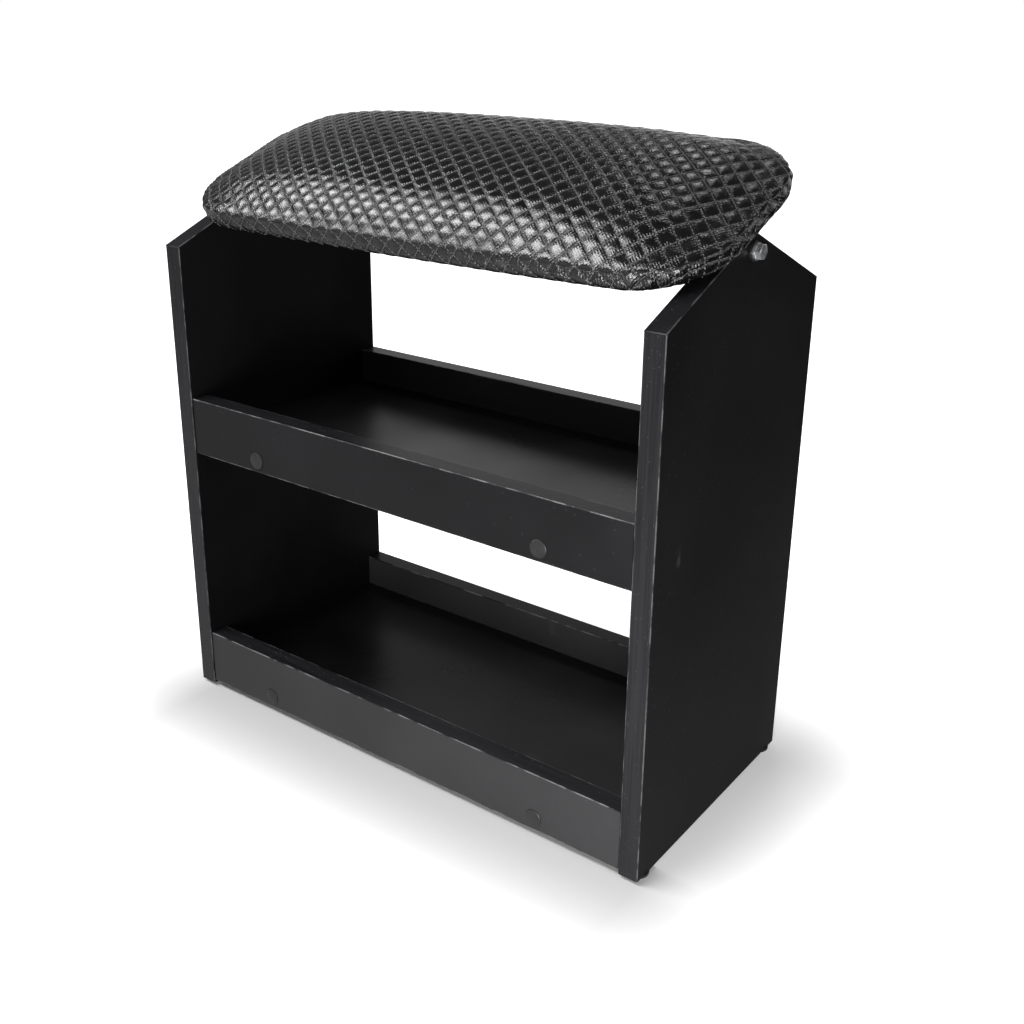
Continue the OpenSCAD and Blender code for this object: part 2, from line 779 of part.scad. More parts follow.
module washer_ring() {
    difference() {
        cylinder(d = washer_d, h = washer_t, $fn = round_fn);
        translate([0, 0, -overrun])
            cylinder(d = bolt_d + 4 * part_clear, h = washer_t + 2 * overrun, $fn = round_fn);
    }
}

module bolt_washers() {
    color([0.75, 0.76, 0.77])
    on_pivot()
        for (s = sides) for (x = [bolt_seat - washer_t, block_in - washer_t])
            translate([s * x, 0, 0])
                rotate([0, s * 90, 0])
                    washer_ring();
}

module lock_nut() {
    collar = nut_h / 4;
    difference() {
        union() {
            translate([0, 0, collar])
                chamfered_hexagon(hex_af, nut_h - collar);
            cylinder(d = hex_af * 0.9, h = collar * 2, $fn = round_fn);
        }
        translate([0, 0, -overrun])
            cylinder(d = bolt_d + 2 * part_clear, h = nut_h + 2 * overrun, $fn = round_fn);
    }
}

module lock_nuts() {
    color([0.72, 0.73, 0.74])
    on_pivot()
        for (s = sides)
            translate([s * (block_in - washer_t - nut_h), 0, 0])
                rotate([0, s * 90, 0])
                    lock_nut();
}

left_panel();
right_panel();
left_panel_banding();
right_panel_banding();
mid_shelf();
bottom_shelf();
mid_front_rail();
mid_back_rail();
bottom_front_rail();
bottom_back_rail();
mid_rail_banding();
bottom_rail_banding();
rail_screws();
screw_caps();
cam_housings();
cam_bolts();
dowels();
floor_glides();
left_pivot_bushes();
right_pivot_bushes();
cushion_board();
cushion_foam();
cushion_cover();
dust_cloth();
cover_staples();
left_pivot_block();
right_pivot_block();
block_screws();
left_pivot_bolt();
right_pivot_bolt();
bolt_washers();
lock_nuts();
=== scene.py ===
import math
import bpy
import bmesh
import numpy as np
from mathutils import Matrix, Vector
from mathutils.kdtree import KDTree


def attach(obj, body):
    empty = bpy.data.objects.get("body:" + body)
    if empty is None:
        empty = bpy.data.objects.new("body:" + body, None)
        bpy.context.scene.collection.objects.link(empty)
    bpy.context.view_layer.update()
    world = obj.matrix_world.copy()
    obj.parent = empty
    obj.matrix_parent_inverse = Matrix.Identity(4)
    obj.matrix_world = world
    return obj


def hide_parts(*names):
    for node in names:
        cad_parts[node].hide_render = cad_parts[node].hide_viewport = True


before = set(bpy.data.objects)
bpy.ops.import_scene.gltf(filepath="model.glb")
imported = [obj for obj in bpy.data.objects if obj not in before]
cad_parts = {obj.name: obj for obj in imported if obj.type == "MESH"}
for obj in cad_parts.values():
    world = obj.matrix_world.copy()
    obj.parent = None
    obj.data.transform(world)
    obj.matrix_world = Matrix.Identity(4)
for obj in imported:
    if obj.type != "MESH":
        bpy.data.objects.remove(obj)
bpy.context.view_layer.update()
scene = bpy.context.scene


# Small helpers for objects and node trees

def addObject(name, data):
    piece = bpy.data.objects.new(name, data)
    scene.collection.objects.link(piece)
    return piece


def meshFrom(name, points, faces=(), smooth=True):
    mesh = bpy.data.meshes.new(name)
    mesh.from_pydata([tuple(p) for p in points], [], [tuple(int(i) for i in f) for f in faces])
    mesh.validate()
    if smooth:
        mesh.shade_smooth()
    mesh.update()
    return mesh


def evaluatedMesh(piece):
    return bpy.data.meshes.new_from_object(piece.evaluated_get(bpy.context.evaluated_depsgraph_get()))


def keepVectors(mesh, **vectors):
    for label, values in vectors.items():
        kept = mesh.attributes.new(label, "FLOAT_VECTOR", "POINT")
        kept.data.foreach_set("vector", np.asarray(values, np.float32).ravel())


def dress(piece, material):
    piece.data.materials.clear()
    piece.data.materials.append(material)


def isSocket(value):
    return isinstance(value, bpy.types.NodeSocket)


def fill(sockets, values):
    for key, value in values.items():
        if isSocket(value):
            value.id_data.links.new(value, sockets[key])
        else:
            sockets[key].default_value = value


def put(kind, inputs={}, tree=None, **settings):
    # A node goes into the tree of the sockets that feed it
    node = (tree or next(value.id_data for value in inputs.values() if isSocket(value))).nodes.new(kind)
    for key, value in settings.items():
        setattr(node, key, value)
    fill(node.inputs, inputs)
    return node


def calc(operation, a, b=0.0, c=0.0):
    return put("ShaderNodeMath", {0: a, 1: b, 2: c}, operation=operation).outputs[0]


def times(first, *factors):
    for factor in factors:
        first = calc("MULTIPLY", first, factor)
    return first


def vectorCalc(operation, a, b=(0, 0, 0), output=0):
    return put("ShaderNodeVectorMath", {0: a, 1: b}, operation=operation).outputs[output]


def remap(value, low, high, toLow=0.0, toHigh=1.0):
    return put("ShaderNodeMapRange", {"Value": value, "From Min": low, "From Max": high, "To Min": toLow,
                                      "To Max": toHigh}, interpolation_type="SMOOTHSTEP").outputs[0]


def blendColour(factor, first, second):
    return put("ShaderNodeMix", {0: factor, 6: first, 7: second}, data_type="RGBA").outputs[2]


def blendValue(factor, first, second):
    return put("ShaderNodeMix", {0: factor, 2: first, 3: second}, data_type="FLOAT").outputs[0]


def noise(vector, scale, detail=2.0, output=0):
    return put("ShaderNodeTexNoise", {"Vector": vector, "Scale": scale, "Detail": detail}).outputs[output]


def split(vector):
    return put("ShaderNodeSeparateXYZ", {"Vector": vector}).outputs


def combine(**parts):
    return put("ShaderNodeCombineXYZ", parts).outputs[0]


def bumped(height, strength, distance, **more):
    inputs = {"Height": height, "Strength": strength, "Distance": distance, **more}
    return put("ShaderNodeBump", inputs).outputs[0]


def objectPlace(tree):
    return put("ShaderNodeTexCoord", tree=tree).outputs["Object"]


def attributeOf(tree, label, output="Vector"):
    return put("ShaderNodeAttribute", tree=tree, attribute_name=label).outputs[output]


def grey(level, blue=0.0):
    return (level, level, level + blue, 1)


# Shared shader groups. An input that is a number becomes a value socket, the others are vectors

def newGroup(build, **inputs):
    tree = bpy.data.node_groups.new(build.__name__, "ShaderNodeTree")
    for label, value in inputs.items():
        kind = "NodeSocketFloat" if isinstance(value, float) else "NodeSocketVector"
        socket = tree.interface.new_socket(name=label, in_out="INPUT", socket_type=kind)
        if value is not None:
            socket.default_value = value
    made = build(tree.nodes.new("NodeGroupInput").outputs)
    for label in made:
        tree.interface.new_socket(name=label, in_out="OUTPUT", socket_type="NodeSocketFloat")
    fill(tree.nodes.new("NodeGroupOutput").inputs, made)
    return tree


def useGroup(group, **inputs):
    return put("ShaderNodeGroup", inputs, node_tree=group).outputs


def dustSpecks(given):
    # Tiny scattered specks of dust: a mask that is one on a speck
    cells = put("ShaderNodeTexVoronoi", {"Vector": given["Vector"], "Scale": given["Scale"]}).outputs
    pick = put("ShaderNodeSeparateColor", {"Color": cells["Color"]}).outputs
    dot = remap(calc("DIVIDE", cells["Distance"], given["Size"]), 1.0, 0.5)
    chosen = calc("LESS_THAN", pick[0], given["Share"])
    return {"Mask": times(dot, chosen, pick[1])}


def satinTexture(given):
    # Fine satin texture with soft cloudy variation
    return {"Height": noise(given["Vector"], given["Grain"]),
            "Tone": remap(noise(given["Vector"], given["Cloud"], 3.0), 0.3, 0.7)}


def rubMarks(given):
    # Sparse long rub marks that run along the piece's long side
    marks = noise(vectorCalc("MULTIPLY", given["Vector"], given["Stretch"]), 1.0)
    where = noise(given["Vector"], 14.0, 1.0)
    patch = remap(where, calc("SUBTRACT", 0.75, given["Share"]), 0.8)
    return {"Mask": times(remap(marks, 0.62, 0.74), patch)}


def leatherGrain(given):
    # Pebbled grain of coated fabric, over a faint woven backing that prints through
    warp = vectorCalc("MULTIPLY", noise(given["Vector"], 400.0, 1.0, "Color"), (0.0008,) * 3)
    cells = {"Vector": vectorCalc("ADD", given["Vector"], warp), "Scale": given["Pebble"]}
    pebbles = put("ShaderNodeTexVoronoi", cells, feature="SMOOTH_F1").outputs["Distance"]
    x, y, _ = split(given["Vector"])
    threads = [calc("SINE", times(calc(way, x, y), given["Threads"])) for way in ("ADD", "SUBTRACT")]
    weave = times(calc("ADD", *threads), given["Weave"])
    return {"Height": calc("SUBTRACT", weave, pebbles), "Tone": noise(given["Vector"], 45.0, 3.0)}


def stitchPuckers(given):
    # Short creases across each row of stitches, and the seam. Cell counts the diamonds both ways
    wobble = noise(given["Cell"], 3.0)
    x, y, _ = split(given["Cell"])
    creases, seams = [], []
    for across, along in ((x, y), (y, x)):
        gap = times(calc("PINGPONG", across, 0.5), given["CellSize"])
        fade = calc("EXPONENT", times(calc("DIVIDE", gap, given["Reach"]), -1.0))
        run = times(along, calc("DIVIDE", given["CellSize"], given["Pitch"]))
        uneven = calc("MULTIPLY_ADD", wobble, 1.1, run)
        creases.append(times(calc("SINE", times(uneven, 2 * math.pi)), fade))
        seams.append(remap(gap, 0.0009, 0.0003))
    return {"Height": calc("ADD", *creases), "Seam": calc("MAXIMUM", *seams)}


def wallCrinkles(given):
    # Fine creases where the skin is gathered over the edge. Edge holds the way round, the way down and the pull
    around, down, pull = split(given["Edge"])
    uneven = noise(given["Edge"], 260.0)
    turns = calc("MULTIPLY_ADD", uneven, given["Wobble"], calc("DIVIDE", around, given["Pitch"]))
    wave = calc("SINE", times(turns, 2 * math.pi))
    patchy = remap(noise(given["Edge"], 85.0, 1.0), 0.40, 0.60, 0.15, 1.0)
    return {"Height": times(wave, remap(down, -0.0005, 0.0020), pull, patchy)}


specks = newGroup(dustSpecks, Vector=None, Scale=300.0, Share=0.1, Size=0.3)
satin = newGroup(satinTexture, Vector=None, Grain=1200.0, Cloud=9.0)
scuffs = newGroup(rubMarks, Vector=None, Stretch=(30, 400, 400), Share=0.2)
grains = newGroup(leatherGrain, Vector=None, Pebble=900.0, Weave=0.4, Threads=5200.0)
puckers = newGroup(stitchPuckers, Cell=None, CellSize=0.0107, Pitch=0.0027, Reach=0.0016)
crinkles = newGroup(wallCrinkles, Edge=None, Pitch=0.0022, Wobble=0.9)
print("shader groups built")


# Materials

def newMaterial(name):
    material = bpy.data.materials.new(name)
    material.use_nodes = True
    tree = material.node_tree
    return material, tree, tree.nodes["Principled BSDF"].inputs


def boardMaterial(name, look):
    # Black melamine-coated board: satin, faintly pebbled, with a little dust and a few rub marks
    material, tree, shader = newMaterial(name)
    spot = objectPlace(tree)
    texture = useGroup(satin, Vector=spot, Grain=look["grain"], Cloud=look["cloud"])
    dust = useGroup(specks, Vector=spot, Scale=look["speckScale"], Share=look["speckShare"], Size=0.35)["Mask"]
    rubs = useGroup(scuffs, Vector=spot, Stretch=look["rubRun"], Share=look["rubShare"])["Mask"]
    base = blendColour(texture["Tone"], grey(look["dark"], look["blue"] * 0.6), grey(look["light"], look["blue"]))
    dusty = blendColour(times(dust, look["speckLevel"]), base, grey(look["speckTone"]))
    rough = remap(texture["Tone"], 0.0, 1.0, look["rough"] - 0.04, look["rough"] + 0.05)
    fill(shader, {
        "Base Color": blendColour(times(rubs, look["rubLevel"]), dusty, grey(look["rubTone"])),
        "Roughness": calc("MULTIPLY_ADD", rubs, 0.12, rough),
        "Normal": bumped(texture["Height"], look["bump"], 0.00012),
        "Specular IOR Level": look["specular"]})
    return material


def edgingMaterial(name, look):
    # Edge banding: slightly paler than the board, brushed along its length, and paler on its rounded rims, partly rub
    # wear and partly a painted highlight
    material, tree, shader = newMaterial(name)
    spot = objectPlace(tree)
    brushed = noise(vectorCalc("MULTIPLY", spot, look["run"]), 1.0, 3.0)
    dust = useGroup(specks, Vector=spot, Scale=look["speckScale"], Share=look["speckShare"], Size=0.38)["Mask"]
    patchy = remap(noise(spot, 70.0, 4.0), 0.4, 0.62)
    dark, light = grey(look["dark"], look["blue"]), grey(look["light"], look["blue"] * 1.4)
    base = blendColour(remap(brushed, 0.3, 0.7), dark, light)
    # Painted highlight with some wear: the rounded rims are lightened in patches
    wearAndHighlight = times(attributeOf(tree, "rim", "Fac"), patchy, look["wearAndHighlight"])
    wornAndHighlighted = blendColour(wearAndHighlight, base, grey(look["wearAndHighlightTone"]))
    fill(shader, {
        "Base Color": blendColour(times(dust, look["speckLevel"]), wornAndHighlighted, grey(look["speckTone"])),
        "Roughness": remap(brushed, 0.2, 0.8, look["rough"] - 0.06, look["rough"] + 0.06),
        "Normal": bumped(brushed, 0.25, 0.0001),
        "Specular IOR Level": look["specular"]})
    return material


def leatherMaterial(look):
    # Glossy black quilted faux leather. "sheet" is the place on the flat skin, "cell" counts its diamonds
    material, tree, shader = newMaterial("quiltedFauxLeather")
    flat = attributeOf(tree, "sheet")
    grain = useGroup(grains, Vector=flat, Pebble=look["pebble"], Weave=look["weave"])
    pucker = useGroup(puckers, Cell=attributeOf(tree, "cell"), Pitch=look["stitchPitch"], Reach=look["puckerReach"])
    crinkle = useGroup(crinkles, Edge=attributeOf(tree, "edge"), Pitch=look["crinklePitch"])["Height"]
    dust = useGroup(specks, Vector=flat, Scale=260.0, Share=0.03, Size=0.25)["Mask"]
    base = blendColour(remap(grain["Tone"], 0.35, 0.65), grey(look["dark"]), grey(look["light"], 0.0006))
    seamed = blendColour(times(pucker["Seam"], 0.6), base, grey(look["seam"]))
    rough = remap(grain["Tone"], 0.3, 0.7, look["rough"] - 0.04, look["rough"] + 0.04)
    folds = calc("MULTIPLY_ADD", crinkle, look["crinkle"], pucker["Height"])
    rumpled = calc("MULTIPLY_ADD", noise(flat, 310.0), look["crumple"], folds)
    creases = bumped(rumpled, 1.0, look["puckerDepth"])
    fill(shader, {
        "Base Color": blendColour(times(dust, 0.25), seamed, grey(look["dust"])),
        "Roughness": calc("MULTIPLY_ADD", pucker["Seam"], 0.15, rough),
        "Normal": bumped(grain["Height"], look["grainStrength"], 0.00012, Normal=creases),
        "Specular IOR Level": look["specular"], "Coat Roughness": look["coatRough"], "Coat Weight": look["coat"]})
    return material


def plainMaterial(name, look):
    # Metal, moulded plastic, wood and cloth share one build: two tones, grain, dust and bump
    material, tree, shader = newMaterial(name)
    spot = objectPlace(tree)
    dark, light, line = ((*tone, 1) if isinstance(tone, tuple) else grey(tone) for tone in look["tones"])
    run = vectorCalc("MULTIPLY", spot, look["run"])
    texture = useGroup(satin, Vector=run, Grain=look["grain"], Cloud=look["cloud"])
    dust = useGroup(specks, Vector=spot, Scale=600.0, Share=0.05, Size=0.3)["Mask"]
    lined = blendColour(times(texture["Height"], look["figure"]), blendColour(texture["Tone"], dark, light), line)
    fill(shader, {
        "Base Color": blendColour(times(dust, 0.3), lined, grey(0.3)),
        "Roughness": remap(texture["Tone"], 0.0, 1.0, look["rough"] - 0.05, look["rough"] + 0.06),
        "Normal": bumped(texture["Height"], look["bump"], 0.0001),
        "Metallic": look["metal"], "Specular IOR Level": look["specular"]})
    return material


board = {"dark": 0.0030, "light": 0.0052, "blue": 0.0005, "rough": 0.42, "specular": 0.05, "grain": 1400.0,
         "cloud": 7.0, "bump": 0.25, "speckScale": 420.0, "speckShare": 0.03, "speckLevel": 0.07, "speckTone": 0.35,
         "rubRun": (25, 500, 30), "rubShare": 0.12, "rubLevel": 0.10, "rubTone": 0.30}
boards = {
    "panelBoard": {"rubRun": (400, 60, 22)},
    "shelfBoard": {"rough": 0.31, "specular": 0.80, "speckLevel": 0.03},
    # Painted light: the rails use the same black melamine made paler, the back and bottom rails much paler, to stand
    # in for light on their faces
    "railBoardPaintedLight": {"dark": 0.0085, "light": 0.0125, "blue": 0.0011, "specular": 0.10},
    "lowRailBoardPaintedLight": {"dark": 0.023, "light": 0.032, "blue": 0.0014, "specular": 0.16},
    # Painted light: the right panel gets the same black melamine made paler, standing in for light on its outer face
    "rightPanelPaintedLightBoard": {"dark": 0.006, "light": 0.009, "rubRun": (400, 60, 22), "rubShare": 0.0},
}
edging = {"dark": 0.007, "light": 0.013, "blue": 0.0016, "rough": 0.36, "specular": 0.24, "wearAndHighlight": 0.24,
          "wearAndHighlightTone": 0.32, "speckScale": 520.0, "speckShare": 0.08, "speckLevel": 0.16, "speckTone": 0.42}
# The rails' rims are lightened more: a painted highlight line along their edges, with some wear
edgings = {"panelEdging": {"run": (700, 700, 12)}, "railEdging": {"run": (12, 700, 700), "wearAndHighlight": 0.42}}
leather = {
    "dark": 0.0026, "light": 0.0044, "seam": 0.006, "dust": 0.3, "rough": 0.18, "specular": 0.60, "coat": 0.12,
    "coatRough": 0.16, "pebble": 950.0, "weave": 0.20, "grainStrength": 0.45, "stitchPitch": 0.0018,
    "puckerReach": 0.0018, "puckerDepth": 0.00019, "crinklePitch": 0.0022, "crinkle": 0.8, "crumple": 0.45,
}
plain = {
    "greyThread": {"tones": (0.11, 0.18, 0.26), "grain": 2600.0, "cloud": 90.0, "rough": 0.42, "bump": 0.6,
                   "specular": 0.5},
    "zincPlate": {"tones": ((0.62, 0.63, 0.65), (0.80, 0.81, 0.83), (0.36, 0.37, 0.39)), "grain": 1500.0,
                  "cloud": 160.0, "rough": 0.27, "bump": 0.15, "metal": 0.85, "specular": 0.5},
    "castZinc": {"tones": ((0.34, 0.35, 0.36), (0.46, 0.47, 0.48), (0.25, 0.25, 0.26)), "figure": 0.6,
                 "grain": 900.0, "cloud": 120.0, "rough": 0.45, "bump": 0.35, "metal": 1.0, "specular": 0.5},
    "capPlastic": {"tones": (0.010, (0.016, 0.016, 0.017), 0.02), "figure": 0.4, "grain": 1100.0, "cloud": 90.0,
                   "rough": 0.40, "bump": 0.2, "specular": 0.35},
    "glidePlastic": {"tones": (0.008, 0.013, 0.02), "figure": 0.3, "grain": 800.0, "cloud": 60.0, "rough": 0.5,
                     "bump": 0.25},
    "blackPaintedWood": {"tones": (0.010, 0.018, 0.03), "figure": 0.4, "grain": 60.0, "cloud": 25.0,
                         "run": (2, 14, 14), "rough": 0.5, "bump": 0.6},
    "beechDowel": {"tones": ((0.50, 0.34, 0.19), (0.62, 0.45, 0.27), (0.36, 0.22, 0.11)), "grain": 90.0,
                   "cloud": 40.0, "run": (1, 12, 12), "rough": 0.6, "bump": 0.4},
    "birchPlywood": {"tones": ((0.46, 0.33, 0.19), (0.60, 0.46, 0.29), (0.33, 0.21, 0.11)), "grain": 55.0,
                     "cloud": 18.0, "run": (1, 9, 40), "rough": 0.62, "bump": 0.4},
    "nonWovenCloth": {"tones": (0.012, 0.022, 0.045), "figure": 0.6, "grain": 1700.0, "cloud": 30.0,
                      "rough": 0.85, "bump": 0.8, "specular": 0.15},
}
materials = {}
for build, shared, looks in ((boardMaterial, board, boards), (edgingMaterial, edging, edgings),
                             (plainMaterial, {"figure": 0.5, "run": (1, 1, 1), "metal": 0.0, "specular": 0.4}, plain)):
    materials.update({name: build(name, {**shared, **look}) for name, look in looks.items()})
for label, names in {
        "panelBoard": ["left_panel"], "rightPanelPaintedLightBoard": ["right_panel"], "shelfBoard": ["mid_shelf", "bottom_shelf"],
        "railBoardPaintedLight": ["mid_front_rail"], "lowRailBoardPaintedLight": ["mid_back_rail", "bottom_front_rail", "bottom_back_rail"],
        "zincPlate": ["rail_screws", "cam_bolts", "block_screws", "left_pivot_bolt", "right_pivot_bolt",
                      "bolt_washers", "lock_nuts"],
        "castZinc": ["cam_housings"], "beechDowel": ["dowels"], "birchPlywood": ["cushion_board"],
        "glidePlastic": ["floor_glides", "left_pivot_bushes", "right_pivot_bushes"],
        "blackPaintedWood": ["left_pivot_block", "right_pivot_block"]}.items():
    for name in names:
        dress(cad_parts[name], materials[label])
print("materials made")


# Small pieces that repeat: a Geometry Nodes tree sets a form at each place, and a plain mesh is kept

def joined(parts):
    node = parts[0].id_data.nodes.new("GeometryNodeJoinGeometry")
    for part in parts:
        fill(node.inputs, {0: part})
    return node.outputs[0]


def scatter(name, build, sizes, material, places, smooth=True, **directions):
    source = addObject(name + "Places", meshFrom(name + "Places", places))
    keepVectors(source.data, **directions)
    tree = bpy.data.node_groups.new(name, "GeometryNodeTree")
    for way in ("INPUT", "OUTPUT"):
        tree.interface.new_socket(name="Geometry", in_out=way, socket_type="NodeSocketGeometry")
    for label, value in sizes.items():
        socket = tree.interface.new_socket(name=label, in_out="INPUT", socket_type="NodeSocketFloat")
        socket.default_value = value
    given = tree.nodes.new("NodeGroupInput").outputs
    turn = {}
    for label, axis in (("along", "X"), ("upward", "Z")):
        if label in directions:
            way = put("GeometryNodeInputNamedAttribute", {"Name": label}, tree, data_type="FLOAT_VECTOR").outputs[0]
            turn = {"Rotation": put("FunctionNodeAlignRotationToVector", {"Vector": way, **turn}, axis=axis,
                                    pivot_axis="X" if turn else "AUTO").outputs[0]}
    spots = put("GeometryNodeMeshToPoints", {"Mesh": given["Geometry"]}).outputs[0]
    form = put("GeometryNodeInstanceOnPoints", {"Points": spots, **build(tree, given), **turn}).outputs[0]
    form = put("GeometryNodeRealizeInstances", {"Geometry": form}).outputs[0]
    if smooth:
        form = put("GeometryNodeSetShadeSmooth", {"Geometry": form}).outputs[0]
    form = put("GeometryNodeSetMaterial", {"Geometry": form, "Material": material}).outputs[0]
    tree.links.new(form, tree.nodes.new("NodeGroupOutput").inputs["Geometry"])
    modifier = source.modifiers.new(name, "NODES")
    modifier.node_group = tree
    for item in tree.interface.items_tree:
        if item.item_type == "SOCKET" and item.in_out == "INPUT" and item.name in sizes:
            modifier[item.identifier] = float(sizes[item.name])
    mesh = evaluatedMesh(source)
    mesh.name = name
    for label in set(directions) & set(mesh.attributes.keys()):
        mesh.attributes.remove(mesh.attributes[label])
    source.modifiers.remove(modifier)
    bpy.data.objects.remove(source)
    return addObject(name, mesh)


# Cushion: the skin's form as a flat sheet wrapped over the foam and the base board

pad = {
    "halfLength": 0.240, "halfDepth": 0.090, "cornerRadius": 0.060, "roll": 0.039, "edgeRise": 0.0162,
    "crownRise": 0.0116, "edgeFullness": 1.44, "endFullness": 3.6, "sideBow": 0.004,
    "bottom": 0.0159, "sideTop": 0.0301, "drawIn": 0.0047, "lowRound": 0.0065, "lip": 0.028,
    "tilt": math.radians(22), "pivotHeight": 0.434117,
}
onPivot = Matrix.Translation((0, 0, pad["pivotHeight"])) @ Matrix.Rotation(pad["tilt"], 4, "X")
turned, raised = np.array(onPivot.to_3x3()).T, np.array(onPivot.translation)
straightX, straightY = pad["halfLength"] - pad["cornerRadius"], pad["halfDepth"] - pad["cornerRadius"]
wallHeight = pad["sideTop"] - pad["bottom"] - pad["lowRound"]
bendLength = math.pi / 4 * (pad["drawIn"] + pad["lowRound"])
skinEnd = wallHeight + bendLength + pad["lip"] - pad["drawIn"]


def rollShare(inset):
    left = np.clip(1 - np.clip(inset, 0, None) / pad["roll"], 0, 1)
    return (1 - left ** pad["edgeFullness"]) ** (1 / pad["edgeFullness"])


def topHeight(x, y, inset):
    ends = 1 - np.clip(np.abs(x) / pad["halfLength"], 0, 1) ** pad["endFullness"]
    crown = pad["crownRise"] * (1 - np.clip(np.abs(y) / pad["halfDepth"], 0, 1) ** 2)
    return ends * (pad["edgeRise"] + crown) * rollShare(inset)


def innerPlace(p, q):
    # The nearest place on the rectangle between the corners' centres
    return np.clip(p, -straightX, straightX), np.clip(q, -straightY, straightY)


def wrapSheet(p, q):
    # Wraps the flat skin: gives each point's place and its reach past the top edge
    inner = pad["cornerRadius"] - pad["roll"]
    cx, cy = innerPlace(p, q)
    dx, dy = p - cx, q - cy
    reach = np.hypot(dx, dy)
    safe = np.where(reach > 1e-9, reach, 1)
    nx, ny = dx / safe, dy / safe
    out = reach - inner
    steps = np.linspace(pad["roll"], 0, 28)
    sideways = inner + pad["roll"] - steps
    heights = topHeight(cx[:, None] + nx[:, None] * sideways, cy[:, None] + ny[:, None] * sideways,
                        np.broadcast_to(steps, (len(p), len(steps))))
    arc = np.concatenate([np.zeros((len(p), 1)),
                          np.cumsum(np.hypot(np.diff(heights, axis=1), steps[0] - steps[1]), axis=1)], axis=1)
    past = np.clip(out, 0, None)
    k = np.clip((arc < past[:, None]).sum(axis=1) - 1, 0, len(steps) - 2)
    rows = np.arange(len(p))
    share = np.clip((past - arc[rows, k]) / (arc[rows, k + 1] - arc[rows, k]), 0, 1)
    inset = steps[k] + (steps[k + 1] - steps[k]) * share
    over = past - arc[:, -1]
    turn = np.clip((over - wallHeight) / bendLength, 0, 1) * math.pi / 2
    under = np.clip(over - wallHeight - bendLength, 0, None)
    inset = np.where(over > 0, pad["drawIn"] * (1 - np.cos(turn)) + under, inset)
    x = np.where(out > 0, cx + nx * (pad["cornerRadius"] - inset), p)
    y = np.where(out > 0, cy + ny * (pad["cornerRadius"] - inset), q)
    low = np.clip(over, 0, wallHeight) + pad["lowRound"] * np.sin(turn)
    high = topHeight(x, y, np.where(out > 0, inset, pad["roll"]))
    z = pad["sideTop"] + np.where(over > 0, -low, high)
    y = y + pad["sideBow"] * (1 - np.clip(x / pad["halfLength"], -1, 1) ** 2) * y / pad["halfDepth"]
    return np.stack([x, y, z], axis=-1), over


def reachPast(p, q, farP, farQ):
    # The reach past the top edge, and a metre for places far off the skin
    over = np.full(len(p), 1.0)
    close = (np.abs(p) < farP) & (np.abs(q) < farQ)
    over[close] = wrapSheet(p[close], q[close])[1]
    return over


# Quilting: two families of stitch lines, nearly straight on the flat skin, each counted by a smooth function
quilt = {
    "span": 0.150, "puff": 0.00080, "power": 2.7, "sink": 0.00038, "pinch": 0.00015, "uneven": 0.14, "seed": 7,
    "lineA": (-5.6699, 10.6183, -9.3014, 0.2619, 0.8418, -0.1134, -0.1265, 0.5112, -0.3062, 0.4576),
    "lineB": (7.8436, 9.3266, 10.7891, -0.233, -0.4148, -0.2687, -0.0228, -0.518, 0.2514, 0.1578),
    "stations": (0.0, 0.045, 0.12, 0.27, 0.5, 0.73, 0.88, 0.955), "shift": 0.22, "stitchesPerCell": 4,
    "skinReach": (0.30, 0.16), "seamReach": (0.28, 0.13),
}
terms = ((0, 0), (1, 0), (0, 1), (2, 0), (1, 1), (0, 2), (3, 0), (2, 1), (1, 2), (0, 3))


def lineCount(p, q, line):
    u, v = p / quilt["span"], q / quilt["span"]
    bentU, bentV = np.clip(u, -1.65, 1.65), np.clip(v, -0.8, 0.8)  # straight again past the measured part
    straight = quilt[line][0] + quilt[line][1] * u + quilt[line][2] * v
    return straight + sum(c * bentU ** i * bentV ** j for c, (i, j) in zip(quilt[line][3:], terms[3:]))


def countRanges(halfLength, halfDepth):
    # The first and last line of each family across a rectangle of the flat skin
    for line in ("lineA", "lineB"):
        counts = [lineCount(x, y, line) for x in (-halfLength, halfLength) for y in (-halfDepth, halfDepth)]
        yield math.floor(min(counts)), math.ceil(max(counts))


def between(low, high, shares):
    return np.add.outer(np.arange(low, high), shares).ravel()


def sheetAt(a, b):
    # Newton steps from the lines' counts back to the place on the flat skin
    fa, fb = quilt["lineA"], quilt["lineB"]
    det = (fa[1] * fb[2] - fa[2] * fb[1]) / quilt["span"]
    p = ((a - fa[0]) * fb[2] - (b - fb[0]) * fa[2]) / det
    q = ((b - fb[0]) * fa[1] - (a - fa[0]) * fb[1]) / det
    step = 0.0005
    for _ in range(7):
        p, q = np.clip(p, -0.42, 0.42), np.clip(q, -0.28, 0.28)
        ga, gb = lineCount(p, q, "lineA"), lineCount(p, q, "lineB")
        ap, bp = ((lineCount(p + step, q, line) - g) / step for line, g in (("lineA", ga), ("lineB", gb)))
        aq, bq = ((lineCount(p, q + step, line) - g) / step for line, g in (("lineA", ga), ("lineB", gb)))
        det = ap * bq - aq * bp
        det = np.where(np.abs(det) > 100, det, 100)
        p = p + ((a - ga) * bq - (b - gb) * aq) / det
        q = q + ((b - gb) * ap - (a - ga) * bp) / det
    return p, q


def cornerAngle(p, q):
    cx, cy = innerPlace(p, q)
    return np.arctan2(q - cy, p - cx)


